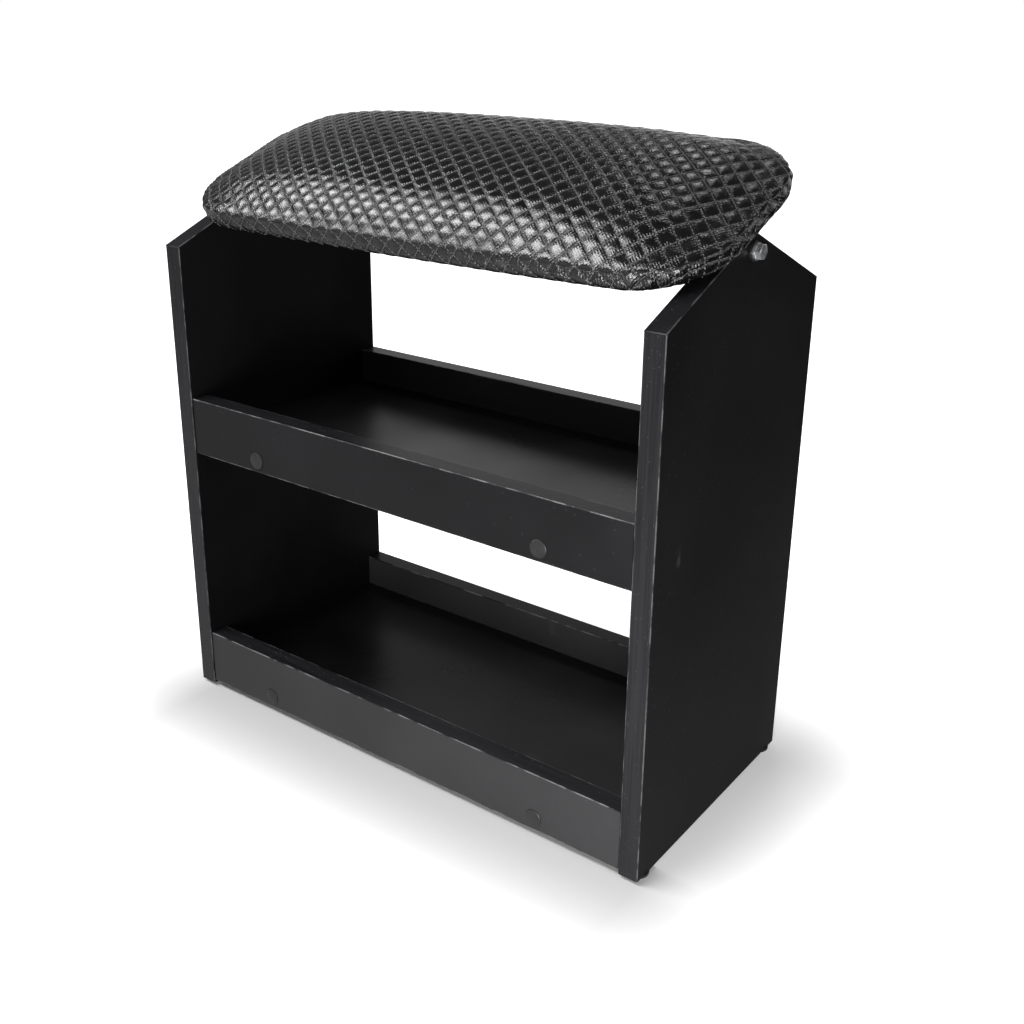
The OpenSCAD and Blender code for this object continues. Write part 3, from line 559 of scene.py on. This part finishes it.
def wayRound(p, q):
    # Length along the skin's outline, anticlockwise from the middle of the front, with no jump at the corners
    a, b = straightX, straightY
    cx, cy = innerPlace(p, q)
    angle = (cornerAngle(p, q) + math.pi / 2 + 1e-7) % (2 * math.pi) - 1e-7
    quarter = angle / (math.pi / 2)
    length = pad["cornerRadius"] * np.clip(angle, 0, None) + np.where(quarter < 1e-5, cx, a)
    for corner, (full, part) in enumerate(((2 * b, cy + b), (2 * a, a - cx), (2 * b, b - cy)), 1):
        length += np.where(quarter > corner + 1e-5, full, np.where(quarter > corner - 1e-5, part, 0))
    return length


def unit(vectors):
    return vectors / np.maximum(np.linalg.norm(vectors, axis=1), 1e-12)[:, None]


def softStep(value, low, high):
    t = np.clip((value - low) / (high - low), 0, 1)
    return t * t * (3 - 2 * t)


def ridge(value, height, centre, width):
    return height * np.exp(-((value - centre) / width) ** 2)


cellChance = np.random.RandomState(quilt["seed"]).rand(96, 96, 3)
swellFrom, swellMove = None, None  # filled after the cloth simulation

# Across the edge: height or share, place past the top edge and width, in metres
edgeForm = {
    "bulge": (0.0002, -0.0075, 0.0045), "boardFold": (0.0006, 0.0018, 0.0015), "tight": (0.75, -0.003, 0.0055),
    "spare": (0.8, 0.0055, 0.0035), "underTight": 0.75, "underFrom": 0.012, "gather": 0.0007, "endFold": 0.0142,
}


def swell(points):
    if swellFrom is None:
        return np.zeros_like(points)
    moved = np.empty_like(points)
    for n, point in enumerate(points):
        near = swellFrom.find_n(point, 4)
        weights = np.array([1 / (item[2] + 0.0006) for item in near])
        moved[n] = (weights[:, None] * swellMove[[item[1] for item in near]]).sum(axis=0) / weights.sum()
    return moved


def skinPoints(p, q, quilted=True):
    place, over = wrapSheet(p, q)
    step = 0.0008
    normal = unit(np.cross(wrapSheet(p + step, q)[0] - wrapSheet(p - step, q)[0],
                           wrapSheet(p, q + step)[0] - wrapSheet(p, q - step)[0]))
    if not quilted:
        return place, normal
    form = edgeForm
    lift = ridge(over, *form["bulge"]) - ridge(over, *form["boardFold"])  # foam over the board, and its top edge
    counts = lineCount(p, q, "lineA"), lineCount(p, q, "lineB")
    cells = [np.floor(count).astype(int) for count in counts]
    odds = cellChance[cells[0] % 96, cells[1] % 96]
    s, t = (2 * (count - cell) - 1 for count, cell in zip(counts, cells))
    s, t = (v + quilt["shift"] * (odds[:, n] - 0.5) * (1 - v * v) for n, v in ((1, s), (2, t)))
    dome = (1 - np.abs(s) ** quilt["power"]) * (1 - np.abs(t) ** quilt["power"])
    height = quilt["puff"] * (1 + quilt["uneven"] * (2 * odds[:, 0] - 1)) * dome
    pinch = quilt["pinch"] * (np.abs(s) * np.abs(t)) ** 7
    share = 1 - form["underTight"] * softStep(over, wallHeight, wallHeight + form["underFrom"])
    share -= ridge(over, *form["tight"])  # drawn tight over the board's edge
    share += ridge(over, *form["spare"]) * softStep(p, -0.08, 0.14)  # spare skin puffs out on the right
    lift += (height - quilt["sink"] - pinch) * share
    # Gathers: the skin's spare length at the corners and ends falls into folds down the wall
    angle = cornerAngle(p, q)
    inCorner = np.abs(np.sin(2 * angle))
    folds = np.sin(angle * 30 + 1.7 * np.sin(angle * 7.3)) * inCorner
    atEnd = softStep(np.abs(p), 0.205, 0.235) * (1 - inCorner)
    folds += atEnd * np.sin(q * 2 * math.pi / form["endFold"] + 1.3 * np.sin(q * 90)) * 0.7
    lift += form["gather"] * folds * softStep(over, -0.001, 0.005) \
        * (1 - softStep(over, wallHeight - 0.002, wallHeight + 0.007))
    return place + swell(place) + normal * lift[:, None], normal


def skinMesh(name, stations, quilted):
    # A grid that follows the stitch lines, cut off and closed under the base board
    grids = (between(low - 1, high + 1, stations) for low, high in countRanges(*quilt["skinReach"]))
    a, b = np.meshgrid(*grids, indexing="ij")
    p, q = sheetAt(a.ravel(), b.ravel())
    over = reachPast(p, q, 0.31, 0.16)
    inside = over < skinEnd - 0.0004
    ids = np.arange(len(p)).reshape(a.shape)
    quads = np.stack([ids[:-1, :-1], ids[1:, :-1], ids[1:, 1:], ids[:-1, 1:]], axis=-1).reshape(-1, 4)
    quads = quads[inside[quads].sum(axis=1) >= 3]
    used = np.unique(quads)
    order = np.full(len(p), -1)
    order[used] = np.arange(len(used))
    p, q, over = p[used], q[used], over[used]
    spare = np.where(over > skinEnd - 0.0004, over - skinEnd, 0)  # pull strays back to the skin's end
    for _ in range(3):
        cx, cy = innerPlace(p, q)
        reach = np.maximum(np.hypot(p - cx, q - cy), 1e-6)
        p, q = cx + (p - cx) * (1 - spare / reach), cy + (q - cy) * (1 - spare / reach)
        late = wrapSheet(p, q)[1]
        spare = np.where(late > skinEnd, late - skinEnd, 0)
    faces = order[quads]
    edges = {}
    for f in faces:
        for i in range(4):
            edge = (f[i], f[(i + 1) % 4])
            if edges.pop(edge[::-1], None) is None:
                edges[edge] = True
    points = np.vstack([skinPoints(p, q, quilted)[0], [[0, 0, pad["bottom"] + 0.0002]]])
    closing = [(end, start, len(p)) for start, end in edges]
    return meshFrom(name, points, [tuple(f) for f in faces] + closing), p, q


coarseMesh = skinMesh("padForm", (0.0, 0.5), False)[0]
print("pad form:", len(coarseMesh.polygons), "faces")


# Cloth simulation: the foam swells against its skin, and the quilted skin takes up the movement

swelling = {
    "voxel": 0.0055, "frames": 20, "cap": 0.0045, "keep": 0.55, "heldBelow": 0.006, "topFrom": 0.004,
    "settings": {"use_pressure": True, "uniform_pressure_force": 4.0, "quality": 5, "tension_stiffness": 15,
                 "compression_stiffness": 15, "shear_stiffness": 8, "bending_stiffness": 2.0,
                 "vertex_group_mass": "held", "pin_stiffness": 1.0},
}


def vertexPlaces(mesh):
    places = np.empty(len(mesh.vertices) * 3)
    mesh.vertices.foreach_get("co", places)
    return places.reshape(-1, 3)


def simulatePad():
    form = addObject("padForm", coarseMesh)
    remesh = form.modifiers.new("voxels", "REMESH")
    remesh.mode = "VOXEL"
    remesh.voxel_size = swelling["voxel"]
    mesh = evaluatedMesh(form)
    bpy.data.objects.remove(form)
    soft = addObject("softPad", mesh)
    start = vertexPlaces(mesh)
    held = soft.vertex_groups.new(name="held")
    held.add([int(i) for i in np.flatnonzero(start[:, 2] < pad["bottom"] + swelling["heldBelow"])], 1.0, "REPLACE")
    cloth = soft.modifiers.new("cloth", "CLOTH")
    for key, value in swelling["settings"].items():
        setattr(cloth.settings, key, value)
    cloth.settings.effector_weights.gravity = 0
    cloth.point_cache.frame_start = 1
    cloth.point_cache.frame_end = swelling["frames"]
    for step in range(1, swelling["frames"] + 1):
        scene.frame_set(step)
    move = vertexPlaces(soft.evaluated_get(bpy.context.evaluated_depsgraph_get()).data) - start
    size = np.linalg.norm(move, axis=1)
    move *= (np.minimum(size, swelling["cap"]) / np.maximum(size, 1e-9))[:, None]
    top = start[:, 2] > pad["sideTop"] + swelling["topFrom"]
    print("cloth simulated: the top moved", round(float(size[top].mean()) * 1000, 2), "mm")
    move[top] -= move[top].mean(axis=0)
    tree = KDTree(len(start))
    for n, point in enumerate(start):
        tree.insert(point, n)
    tree.balance()
    bpy.data.objects.remove(soft)
    scene.frame_set(1)
    return tree, move * swelling["keep"]


swellFrom, swellMove = simulatePad()

coverMesh, flatP, flatQ = skinMesh("quiltedCover", quilt["stations"], True)
flatP, flatQ = np.append(flatP, 0.0), np.append(flatQ, 0.0)  # the closing point's place
level = np.zeros(len(flatP))
pull = 0.45 + 0.55 * np.maximum(np.abs(np.sin(2 * cornerAngle(flatP, flatQ))),
                                softStep(flatP, 0.02, 0.16) * (flatQ < 0))
keepVectors(coverMesh, sheet=np.stack([flatP, flatQ, level], axis=-1),
            cell=np.stack([lineCount(flatP, flatQ, "lineA"), lineCount(flatP, flatQ, "lineB"), level], axis=-1),
            edge=np.stack([wayRound(flatP, flatQ), wrapSheet(flatP, flatQ)[1], pull], axis=-1))
coverMesh.transform(onPivot)
cover = addObject("quiltedCover", coverMesh)
dress(cover, leatherMaterial(leather))
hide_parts("cushion_cover", "cushion_foam")
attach(cover, "cushion")
print("quilted cover:", len(coverMesh.polygons), "faces")


# Stitches: one small thread bead for each stitch, sunk halfway into its seam

stitch = {"size": {"Length": 0.0020, "Width": 0.00054}, "raise": 0.00008, "step": 0.04, "short": 0.016}


def seamRun(stepA, stepB):
    # The stitches of the lines that run the way of this step
    fine = (np.arange(quilt["stitchesPerCell"]) + 0.5) / quilt["stitchesPerCell"]
    grids = (between(low, high, fine) if step else np.arange(low, high + 1.0)
             for step, (low, high) in zip((stepA, stepB), countRanges(*quilt["seamReach"])))
    a, b = np.meshgrid(*grids)
    a, b = a.ravel(), b.ravel()
    p, q = sheetAt(a, b)
    seen = reachPast(p, q, 0.30, 0.15) < skinEnd - stitch["short"]
    here, normal = skinPoints(p[seen], q[seen])
    along = unit(skinPoints(*sheetAt(a[seen] + stepA, b[seen] + stepB))[0] - here)
    return here + normal * stitch["raise"], along, normal


def threadBead(tree, given):
    bead = put("GeometryNodeMeshIcoSphere", {"Radius": 0.5, "Subdivisions": 1}, tree).outputs[0]
    return {"Instance": bead, "Scale": combine(X=given["Length"], Y=given["Width"], Z=given["Width"])}


places, alongs, normals = map(np.concatenate, zip(seamRun(0, stitch["step"]), seamRun(stitch["step"], 0)))
stitches = scatter("coverStitches", threadBead, stitch["size"], materials["greyThread"], places @ turned + raised,
                   along=alongs @ turned, upward=normals @ turned)
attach(stitches, "cushion")
print("stitches:", len(places))


# Dust cloth under the cushion, with the staples that hold it

cloth = {"halfLength": 0.227, "halfDepth": 0.077, "corner": 0.047, "height": 0.0153, "sag": 0.0005, "cell": 0.006,
         "thickness": 0.0005, "blockX": 0.198, "blockReach": (0.020, 0.030)}


def dustClothMesh():
    counts = [int(round(cloth[key] * 2 / cloth["cell"])) + 1 for key in ("halfLength", "halfDepth")]
    u, v = np.meshgrid(*(np.linspace(-1, 1, count) for count in counts), indexing="ij")
    x, y = u * cloth["halfLength"], v * cloth["halfDepth"]
    r = cloth["corner"]
    ex = np.clip(np.abs(x) - cloth["halfLength"] + r, 0, None) / r
    ey = np.clip(np.abs(y) - cloth["halfDepth"] + r, 0, None) / r
    x = np.sign(x) * (np.abs(x) - ex * r + r * ex * np.sqrt(1 - ey * ey / 2))
    y = np.sign(y) * (np.abs(y) - ey * r + r * ey * np.sqrt(1 - ex * ex / 2))
    waves = 0.5 + 0.5 * np.sin(x * 157) * np.sin(y * 120 + 1.0)
    z = cloth["height"] - cloth["sag"] * waves * (1 - u ** 6) * (1 - v ** 6)
    reachX, reachY = cloth["blockReach"]  # flat where the pivot blocks press on it
    pressed = (np.abs(np.abs(x) - cloth["blockX"]) < reachX) & (np.abs(y) < reachY)
    z = np.where(pressed, cloth["height"] - 0.0001, z)
    ids = np.arange(x.size).reshape(x.shape)
    quads = np.stack([ids[:-1, :-1], ids[:-1, 1:], ids[1:, 1:], ids[1:, :-1]], axis=-1).reshape(-1, 4)
    return meshFrom("dustCloth", np.stack([x, y, z], -1).reshape(-1, 3), quads)


underCloth = addObject("underCloth", dustClothMesh())
underCloth.data.transform(onPivot)
thick = underCloth.modifiers.new("thickness", "SOLIDIFY")
thick.thickness = cloth["thickness"]
thick.offset = 0.0
dress(underCloth, materials["nonWovenCloth"])
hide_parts("dust_cloth")
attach(underCloth, "cushion")

staple = {"size": {"Crown": 0.010, "Wire": 0.0007, "Leg": 0.0030}, "inset": 0.018, "pitch": 0.040,
          "height": 0.0143, "cornerAngles": (20, 45, 70)}


def stapleSpots():
    # Each staple's place and its turn: along the front and back, at the ends, and round the corners
    steps = math.floor(2 * straightX / staple["pitch"] + 1e-6)
    for k in range(steps + 1):
        for s in (-1, 1):
            yield -straightX + 2 * straightX * k / steps, s * (pad["halfDepth"] - staple["inset"]), 0.0
    for s in (-1, 1):
        for e in (-1, 0, 1):
            yield s * (pad["halfLength"] - staple["inset"]), e * straightY, math.pi / 2
    reach = pad["cornerRadius"] - staple["inset"]
    for s, e in ((-1, -1), (-1, 1), (1, -1), (1, 1)):
        for angle in np.radians(staple["cornerAngles"]):
            yield (s * (straightX + reach * math.cos(angle)), e * (straightY + reach * math.sin(angle)),
                   math.pi / 2 + s * e * angle)


def stapleWire(tree, given):
    half = times(given["Wire"], 0.5)
    endX = calc("SUBTRACT", times(given["Crown"], 0.5), half)
    corners = [combine(X=times(endX, side), Z=height) for side, height in
               ((-1.0, given["Leg"]), (-1.0, half), (1.0, half), (1.0, given["Leg"]))]
    wires = [put("GeometryNodeCurvePrimitiveLine", {"Start": start, "End": end}).outputs[0]
             for start, end in zip(corners, corners[1:])]
    profile = put("GeometryNodeCurvePrimitiveCircle", {"Resolution": 6, "Radius": half}).outputs[0]
    return {"Instance": put("GeometryNodeCurveToMesh", {"Curve": joined(wires), "Profile Curve": profile,
                                                        "Fill Caps": True}).outputs[0]}


x, y, angle = np.array(list(stapleSpots())).T
places = np.stack([x, y, np.full(len(x), staple["height"])], axis=-1)
alongs = np.stack([np.cos(angle), np.sin(angle), np.zeros(len(x))], axis=-1)
staples = scatter("clothStaples", stapleWire, staple["size"], materials["zincPlate"], places @ turned + raised,
                  smooth=False, along=alongs @ turned, upward=np.tile([0.0, 0.0, 1.0], (len(x), 1)) @ turned)
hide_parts("cover_staples")
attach(staples, "cushion")
print("dust cloth and", len(places), "staples")


# Cabinet edging: thin strips with rounded outer corners, butted at the panels' front and back corners

cabinet = {"halfWidth": 0.231, "halfDepth": 0.111, "board": 0.016, "band": 0.0008, "floor": 0.003,
           "slope": math.radians(23), "peak": 0.447117, "rimRadius": 0.0005, "rimSteps": 3, "seam": 0.00012,
           "railReach": 0.2143, "railY": 0.102, "railHeight": 0.048}


def stripProfile():
    # Places across the strip and out of the board, with a one on the rounded rims; the left half is mirrored
    half, out, radius = cabinet["board"] / 2, cabinet["band"], cabinet["rimRadius"]
    turns = [math.pi / 2 * k / cabinet["rimSteps"] for k in range(cabinet["rimSteps"] + 1)]
    right = [(half - radius * 1.6, out, 0.0)]
    right += [(half - radius * (1 - math.sin(t)), out - radius * (1 - math.cos(t)), 1.0) for t in turns]
    right += [(half, 0.0, 0.0)]
    return [(-x, y, rim) for x, y, rim in reversed(right)] + right


def stripMesh(name, strips):
    # Each strip: the way across it, then for both ends the middle of its back and the way out of the board
    profile = stripProfile()
    n = len(profile)
    points, faces = [], []
    for across, *ends in strips:
        first = len(points)
        for middle, outward in ends:
            points += [np.array(middle) + x * np.array(across) + y * np.array(outward) for x, y, _ in profile]
        faces += [(first + k, first + (k + 1) % n, first + n + (k + 1) % n, first + n + k) for k in range(n)]
        faces += [range(first + n - 1, first - 1, -1), range(first + n, first + 2 * n)]
    mesh = meshFrom(name, points, faces, smooth=False)
    shaped = bmesh.new()
    shaped.from_mesh(mesh)
    bmesh.ops.recalc_face_normals(shaped, faces=shaped.faces)
    shaped.to_mesh(mesh)
    shaped.free()
    rim = mesh.attributes.new("rim", "FLOAT", "POINT")
    rim.data.foreach_set("value", np.array([rim for _, _, rim in profile] * 2 * len(strips), np.float32))
    return mesh


def panelStrips(side):
    c = cabinet
    x = side * (c["halfWidth"] - c["board"] / 2)
    tan, cos = math.tan(c["slope"]), math.cos(c["slope"])
    deep, back = c["halfDepth"], c["halfDepth"] - c["band"]
    top = c["peak"] - c["band"] / cos
    uprights = [((1, 0, 0), ((x, e * back, c["floor"]), (0, e, 0)),
                 ((x, e * back, top - back * tan - c["seam"]), (0, e, -tan))) for e in (-1, 1)]
    slopes = [((1, 0, 0), ((x, e * deep, top - deep * tan), (0, 0, 1 / cos)), ((x, 0, top), (0, 0, 1 / cos)))
              for e in (-1, 1)]
    return uprights + slopes


def railStrips(bottom):
    c = cabinet
    return [((0, 1, 0), *(((x, y, z), (0, 0, up)) for x in (-c["railReach"], c["railReach"])))
            for y in (-c["railY"], c["railY"])
            for z, up in ((bottom + c["band"], -1), (bottom + c["railHeight"] - c["band"], 1))]


for name, strips, node, label in (
        ("leftPanelEdging", panelStrips(-1), "left_panel_banding", "panelEdging"),
        ("rightPanelEdging", panelStrips(1), "right_panel_banding", "panelEdging"),
        ("middleRailEdging", railStrips(0.225), "mid_rail_banding", "railEdging"),
        ("bottomRailEdging", railStrips(0.006), "bottom_rail_banding", "railEdging")):
    piece = addObject(name, stripMesh(name, strips))
    dress(piece, materials[label])
    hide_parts(node)
    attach(piece, "cabinet")
print("edging made")


# Screw caps: a flat rim, a bevel and a low dome, pressed over each rail screw

cap = {"size": {"Diameter": 0.014, "Face": 0.0012}, "screwX": 0.140, "faceY": 0.110, "heights": (0.235, 0.016),
       "sides": 48, "rim": 0.45, "bevel": 0.28, "dome": 0.54, "narrow": 0.93, "sharpFrom": math.radians(28)}


def capForm(tree, given):
    radius = times(given["Diameter"], 0.5)
    narrow = times(radius, cap["narrow"])
    rim, bevel, dome = (times(given["Face"], cap[part]) for part in ("rim", "bevel", "dome"))
    parts = (
        ("Cylinder", {"Vertices": cap["sides"], "Radius": radius, "Depth": rim}, times(rim, 0.5), (1, 1, 1)),
        ("Cone", {"Vertices": cap["sides"], "Radius Top": narrow, "Radius Bottom": radius, "Depth": bevel}, rim,
         (1, 1, 1)),
        ("UVSphere", {"Segments": cap["sides"], "Rings": 14, "Radius": 1.0},
         calc("SUBTRACT", given["Face"], dome), combine(X=narrow, Y=narrow, Z=dome)))
    return {"Instance": joined([put("GeometryNodeTransform", {
        "Geometry": put("GeometryNodeMesh" + kind, sizes, tree).outputs[0], "Translation": combine(Z=height),
        "Scale": scale}).outputs[0] for kind, sizes, height, scale in parts])}


places = [(s * cap["screwX"], f * cap["faceY"], z) for z in cap["heights"] for s in (-1, 1) for f in (-1, 1)]
caps = scatter("screwCaps", capForm, cap["size"], materials["capPlastic"], places,
               upward=[(0, np.sign(y), 0) for _, y, _ in places])
caps.data.set_sharp_from_angle(angle=cap["sharpFrom"])
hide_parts("screw_caps")
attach(caps, "cabinet")
print("caps made")


# Studio: white floor and surroundings, four soft boxes, and the camera

studio = {
    "floorTone": 0.55, "glowFront": (0.0, 0.44), "glowSide": (0.28, 0.67), "reachFront": 0.11, "reachSide": 0.085,
    "glowFar": 0.7, "farFrom": 0.04, "farTo": 0.20, "glowMirrored": 0.08, "shadowShift": (-0.009, 0.013, 0),
    "shadowHalf": (0.222, 0.098, 0), "shadowFront": -0.085, "worldLight": 0.22, "ceiling": 0.08, "darkSide": 0.12,
    "boxes": [
        {"name": "sideStrip", "from": (-0.48, -0.49, 0.73), "aim": (0, 0, 0.44), "distance": 1.6,
         "size": (1.60, 0.42), "roll": 30, "watts": 34.0},
        {"name": "rightFill", "from": (0.85, -0.25, 0.45), "aim": (0.20, 0, 0.15), "distance": 1.8,
         "size": (0.80, 0.80), "watts": 6.0},
        {"name": "topBox", "from": (-0.20, 0.57, 0.79), "aim": (0, 0, 0.45), "distance": 1.9,
         "size": (0.35, 0.35), "watts": 2.4},
        {"name": "lowBox", "from": (0.40, -0.90, 0.14), "aim": (0.22, -0.11, 0.06), "distance": 0.60,
         "size": (0.30, 0.25), "watts": 6.0},
    ],
    "lens": 42.073, "shift": (-0.01211, -0.06423), "eye": (0.5669885580, -0.7208889285, 0.5743061935),
    "right": (0.8086828963, 0.5880922586, 0.0133965912), "down": (0.2075048241, -0.2638810583, -0.9419705595),
    "ahead": (-0.5504304872, 0.7645353376, -0.3354280792),
}


def rays(tree):
    path = put("ShaderNodeLightPath", tree=tree).outputs
    return path["Is Camera Ray"], calc("MAXIMUM", path["Is Glossy Ray"], path["Is Transmission Ray"])


def buildFloor():
    corners = [(-30, -30, 0), (30, -30, 0), (30, 30, 0), (-30, 30, 0)]
    floor = addObject("studioFloor", meshFrom("studioFloor", corners, [(0, 1, 2, 3)], smooth=False))
    material, tree, shader = newMaterial("paperFloor")
    spot = objectPlace(tree)
    across, depth, _ = split(spot)
    direct, mirrored = rays(tree)
    unshadedInReflection = remap(across, 0.28, 0.50, 1.0, 0.03)  # painted shade: far right the floor turns dark, in reflections only
    tone = studio["floorTone"]
    paper = blendColour(noise(spot, 35.0, 3.0), grey(tone * 0.995), grey(tone))
    paintedShadeInReflection = times(mirrored, calc("SUBTRACT", 1.0, unshadedInReflection))
    fill(shader, {"Base Color": blendColour(paintedShadeInReflection, paper, grey(0.0)), "Roughness": 0.9, "Specular IOR Level": 0.1})
    centred = vectorCalc("ADD", spot, studio["shadowShift"])  # painted shadow: the camera-only glow dips round the base, most to the front right
    sides = vectorCalc("SUBTRACT", vectorCalc("ABSOLUTE", centred), studio["shadowHalf"])
    outside = vectorCalc("MAXIMUM", sides)
    away = vectorCalc("LENGTH", outside, output="Value")
    ahead = calc("MAXIMUM", calc("SUBTRACT", studio["shadowFront"], depth), 0.0)
    wide = calc("ADD", split(outside)[0], 0.0001)
    beside = calc("DIVIDE", wide, calc("ADD", wide, ahead))
    # Painted shadow: the glow seen by the camera is low by the cabinet and rises with distance, drawing a soft shadow
    # round its base
    front = remap(away, 0.0, studio["reachFront"], *studio["glowFront"])
    side = remap(away, 0.0, studio["reachSide"], *studio["glowSide"])
    far = remap(away, studio["farFrom"], studio["farTo"], 0.0, studio["glowFar"])
    level = calc("ADD", blendValue(beside, front, side), far)
    # In reflections the floor's glow also fades far right, a painted shade there
    seen = blendValue(direct, times(mirrored, unshadedInReflection, studio["glowMirrored"]), level)
    glow = put("ShaderNodeEmission", {"Color": grey(1), "Strength": seen}).outputs[0]
    total = put("ShaderNodeAddShader", {0: tree.nodes["Principled BSDF"].outputs[0], 1: glow})
    tree.links.new(total.outputs[0], tree.nodes["Material Output"].inputs["Surface"])
    dress(floor, material)


def buildWorld():
    world = bpy.data.worlds.new("whiteStudio")
    world.use_nodes = True
    tree = world.node_tree
    direct, mirrored = rays(tree)
    way = split(put("ShaderNodeTexCoord", tree=tree).outputs["Generated"])
    bright = remap(way[0], -0.92, -0.60, studio["darkSide"], 1.0)  # a dark curtain at the left end
    wall = blendValue(remap(way[2], 0.24, 0.46), bright, studio["ceiling"])  # a darker ceiling
    seen = blendValue(mirrored, studio["worldLight"], wall)
    fill(tree.nodes["Background"].inputs, {"Color": grey(1), "Strength": blendValue(direct, seen, 1.0)})
    scene.world = world


def buildLamps():
    for box in studio["boxes"]:
        lamp = bpy.data.lights.new(box["name"], "AREA")
        lamp.shape = "RECTANGLE"
        lamp.size, lamp.size_y = box["size"]
        lamp.energy = box["watts"]
        piece = addObject(box["name"], lamp)
        towards = Vector(box["from"]).normalized()
        piece.location = Vector(box["aim"]) + towards * box["distance"]
        roll = Matrix.Rotation(math.radians(box.get("roll", 0)), 4, "Z")
        piece.rotation_euler = (towards.to_track_quat("Z", "Y").to_matrix().to_4x4() @ roll).to_euler()
        piece.visible_camera = False


def buildCamera():
    view = bpy.data.cameras.new("frontRightView")
    view.sensor_width, view.lens = 36.0, studio["lens"]
    view.shift_x, view.shift_y = studio["shift"]
    view.clip_end = 60
    piece = addObject("frontRightView", view)
    turn = Matrix((Vector(studio["right"]), -Vector(studio["down"]), -Vector(studio["ahead"]))).transposed()
    piece.matrix_world = Matrix.Translation(studio["eye"]) @ turn.to_4x4()
    scene.camera = piece


buildFloor()
buildWorld()
buildLamps()
buildCamera()
scene.view_settings.view_transform = "Standard"
print("studio ready")
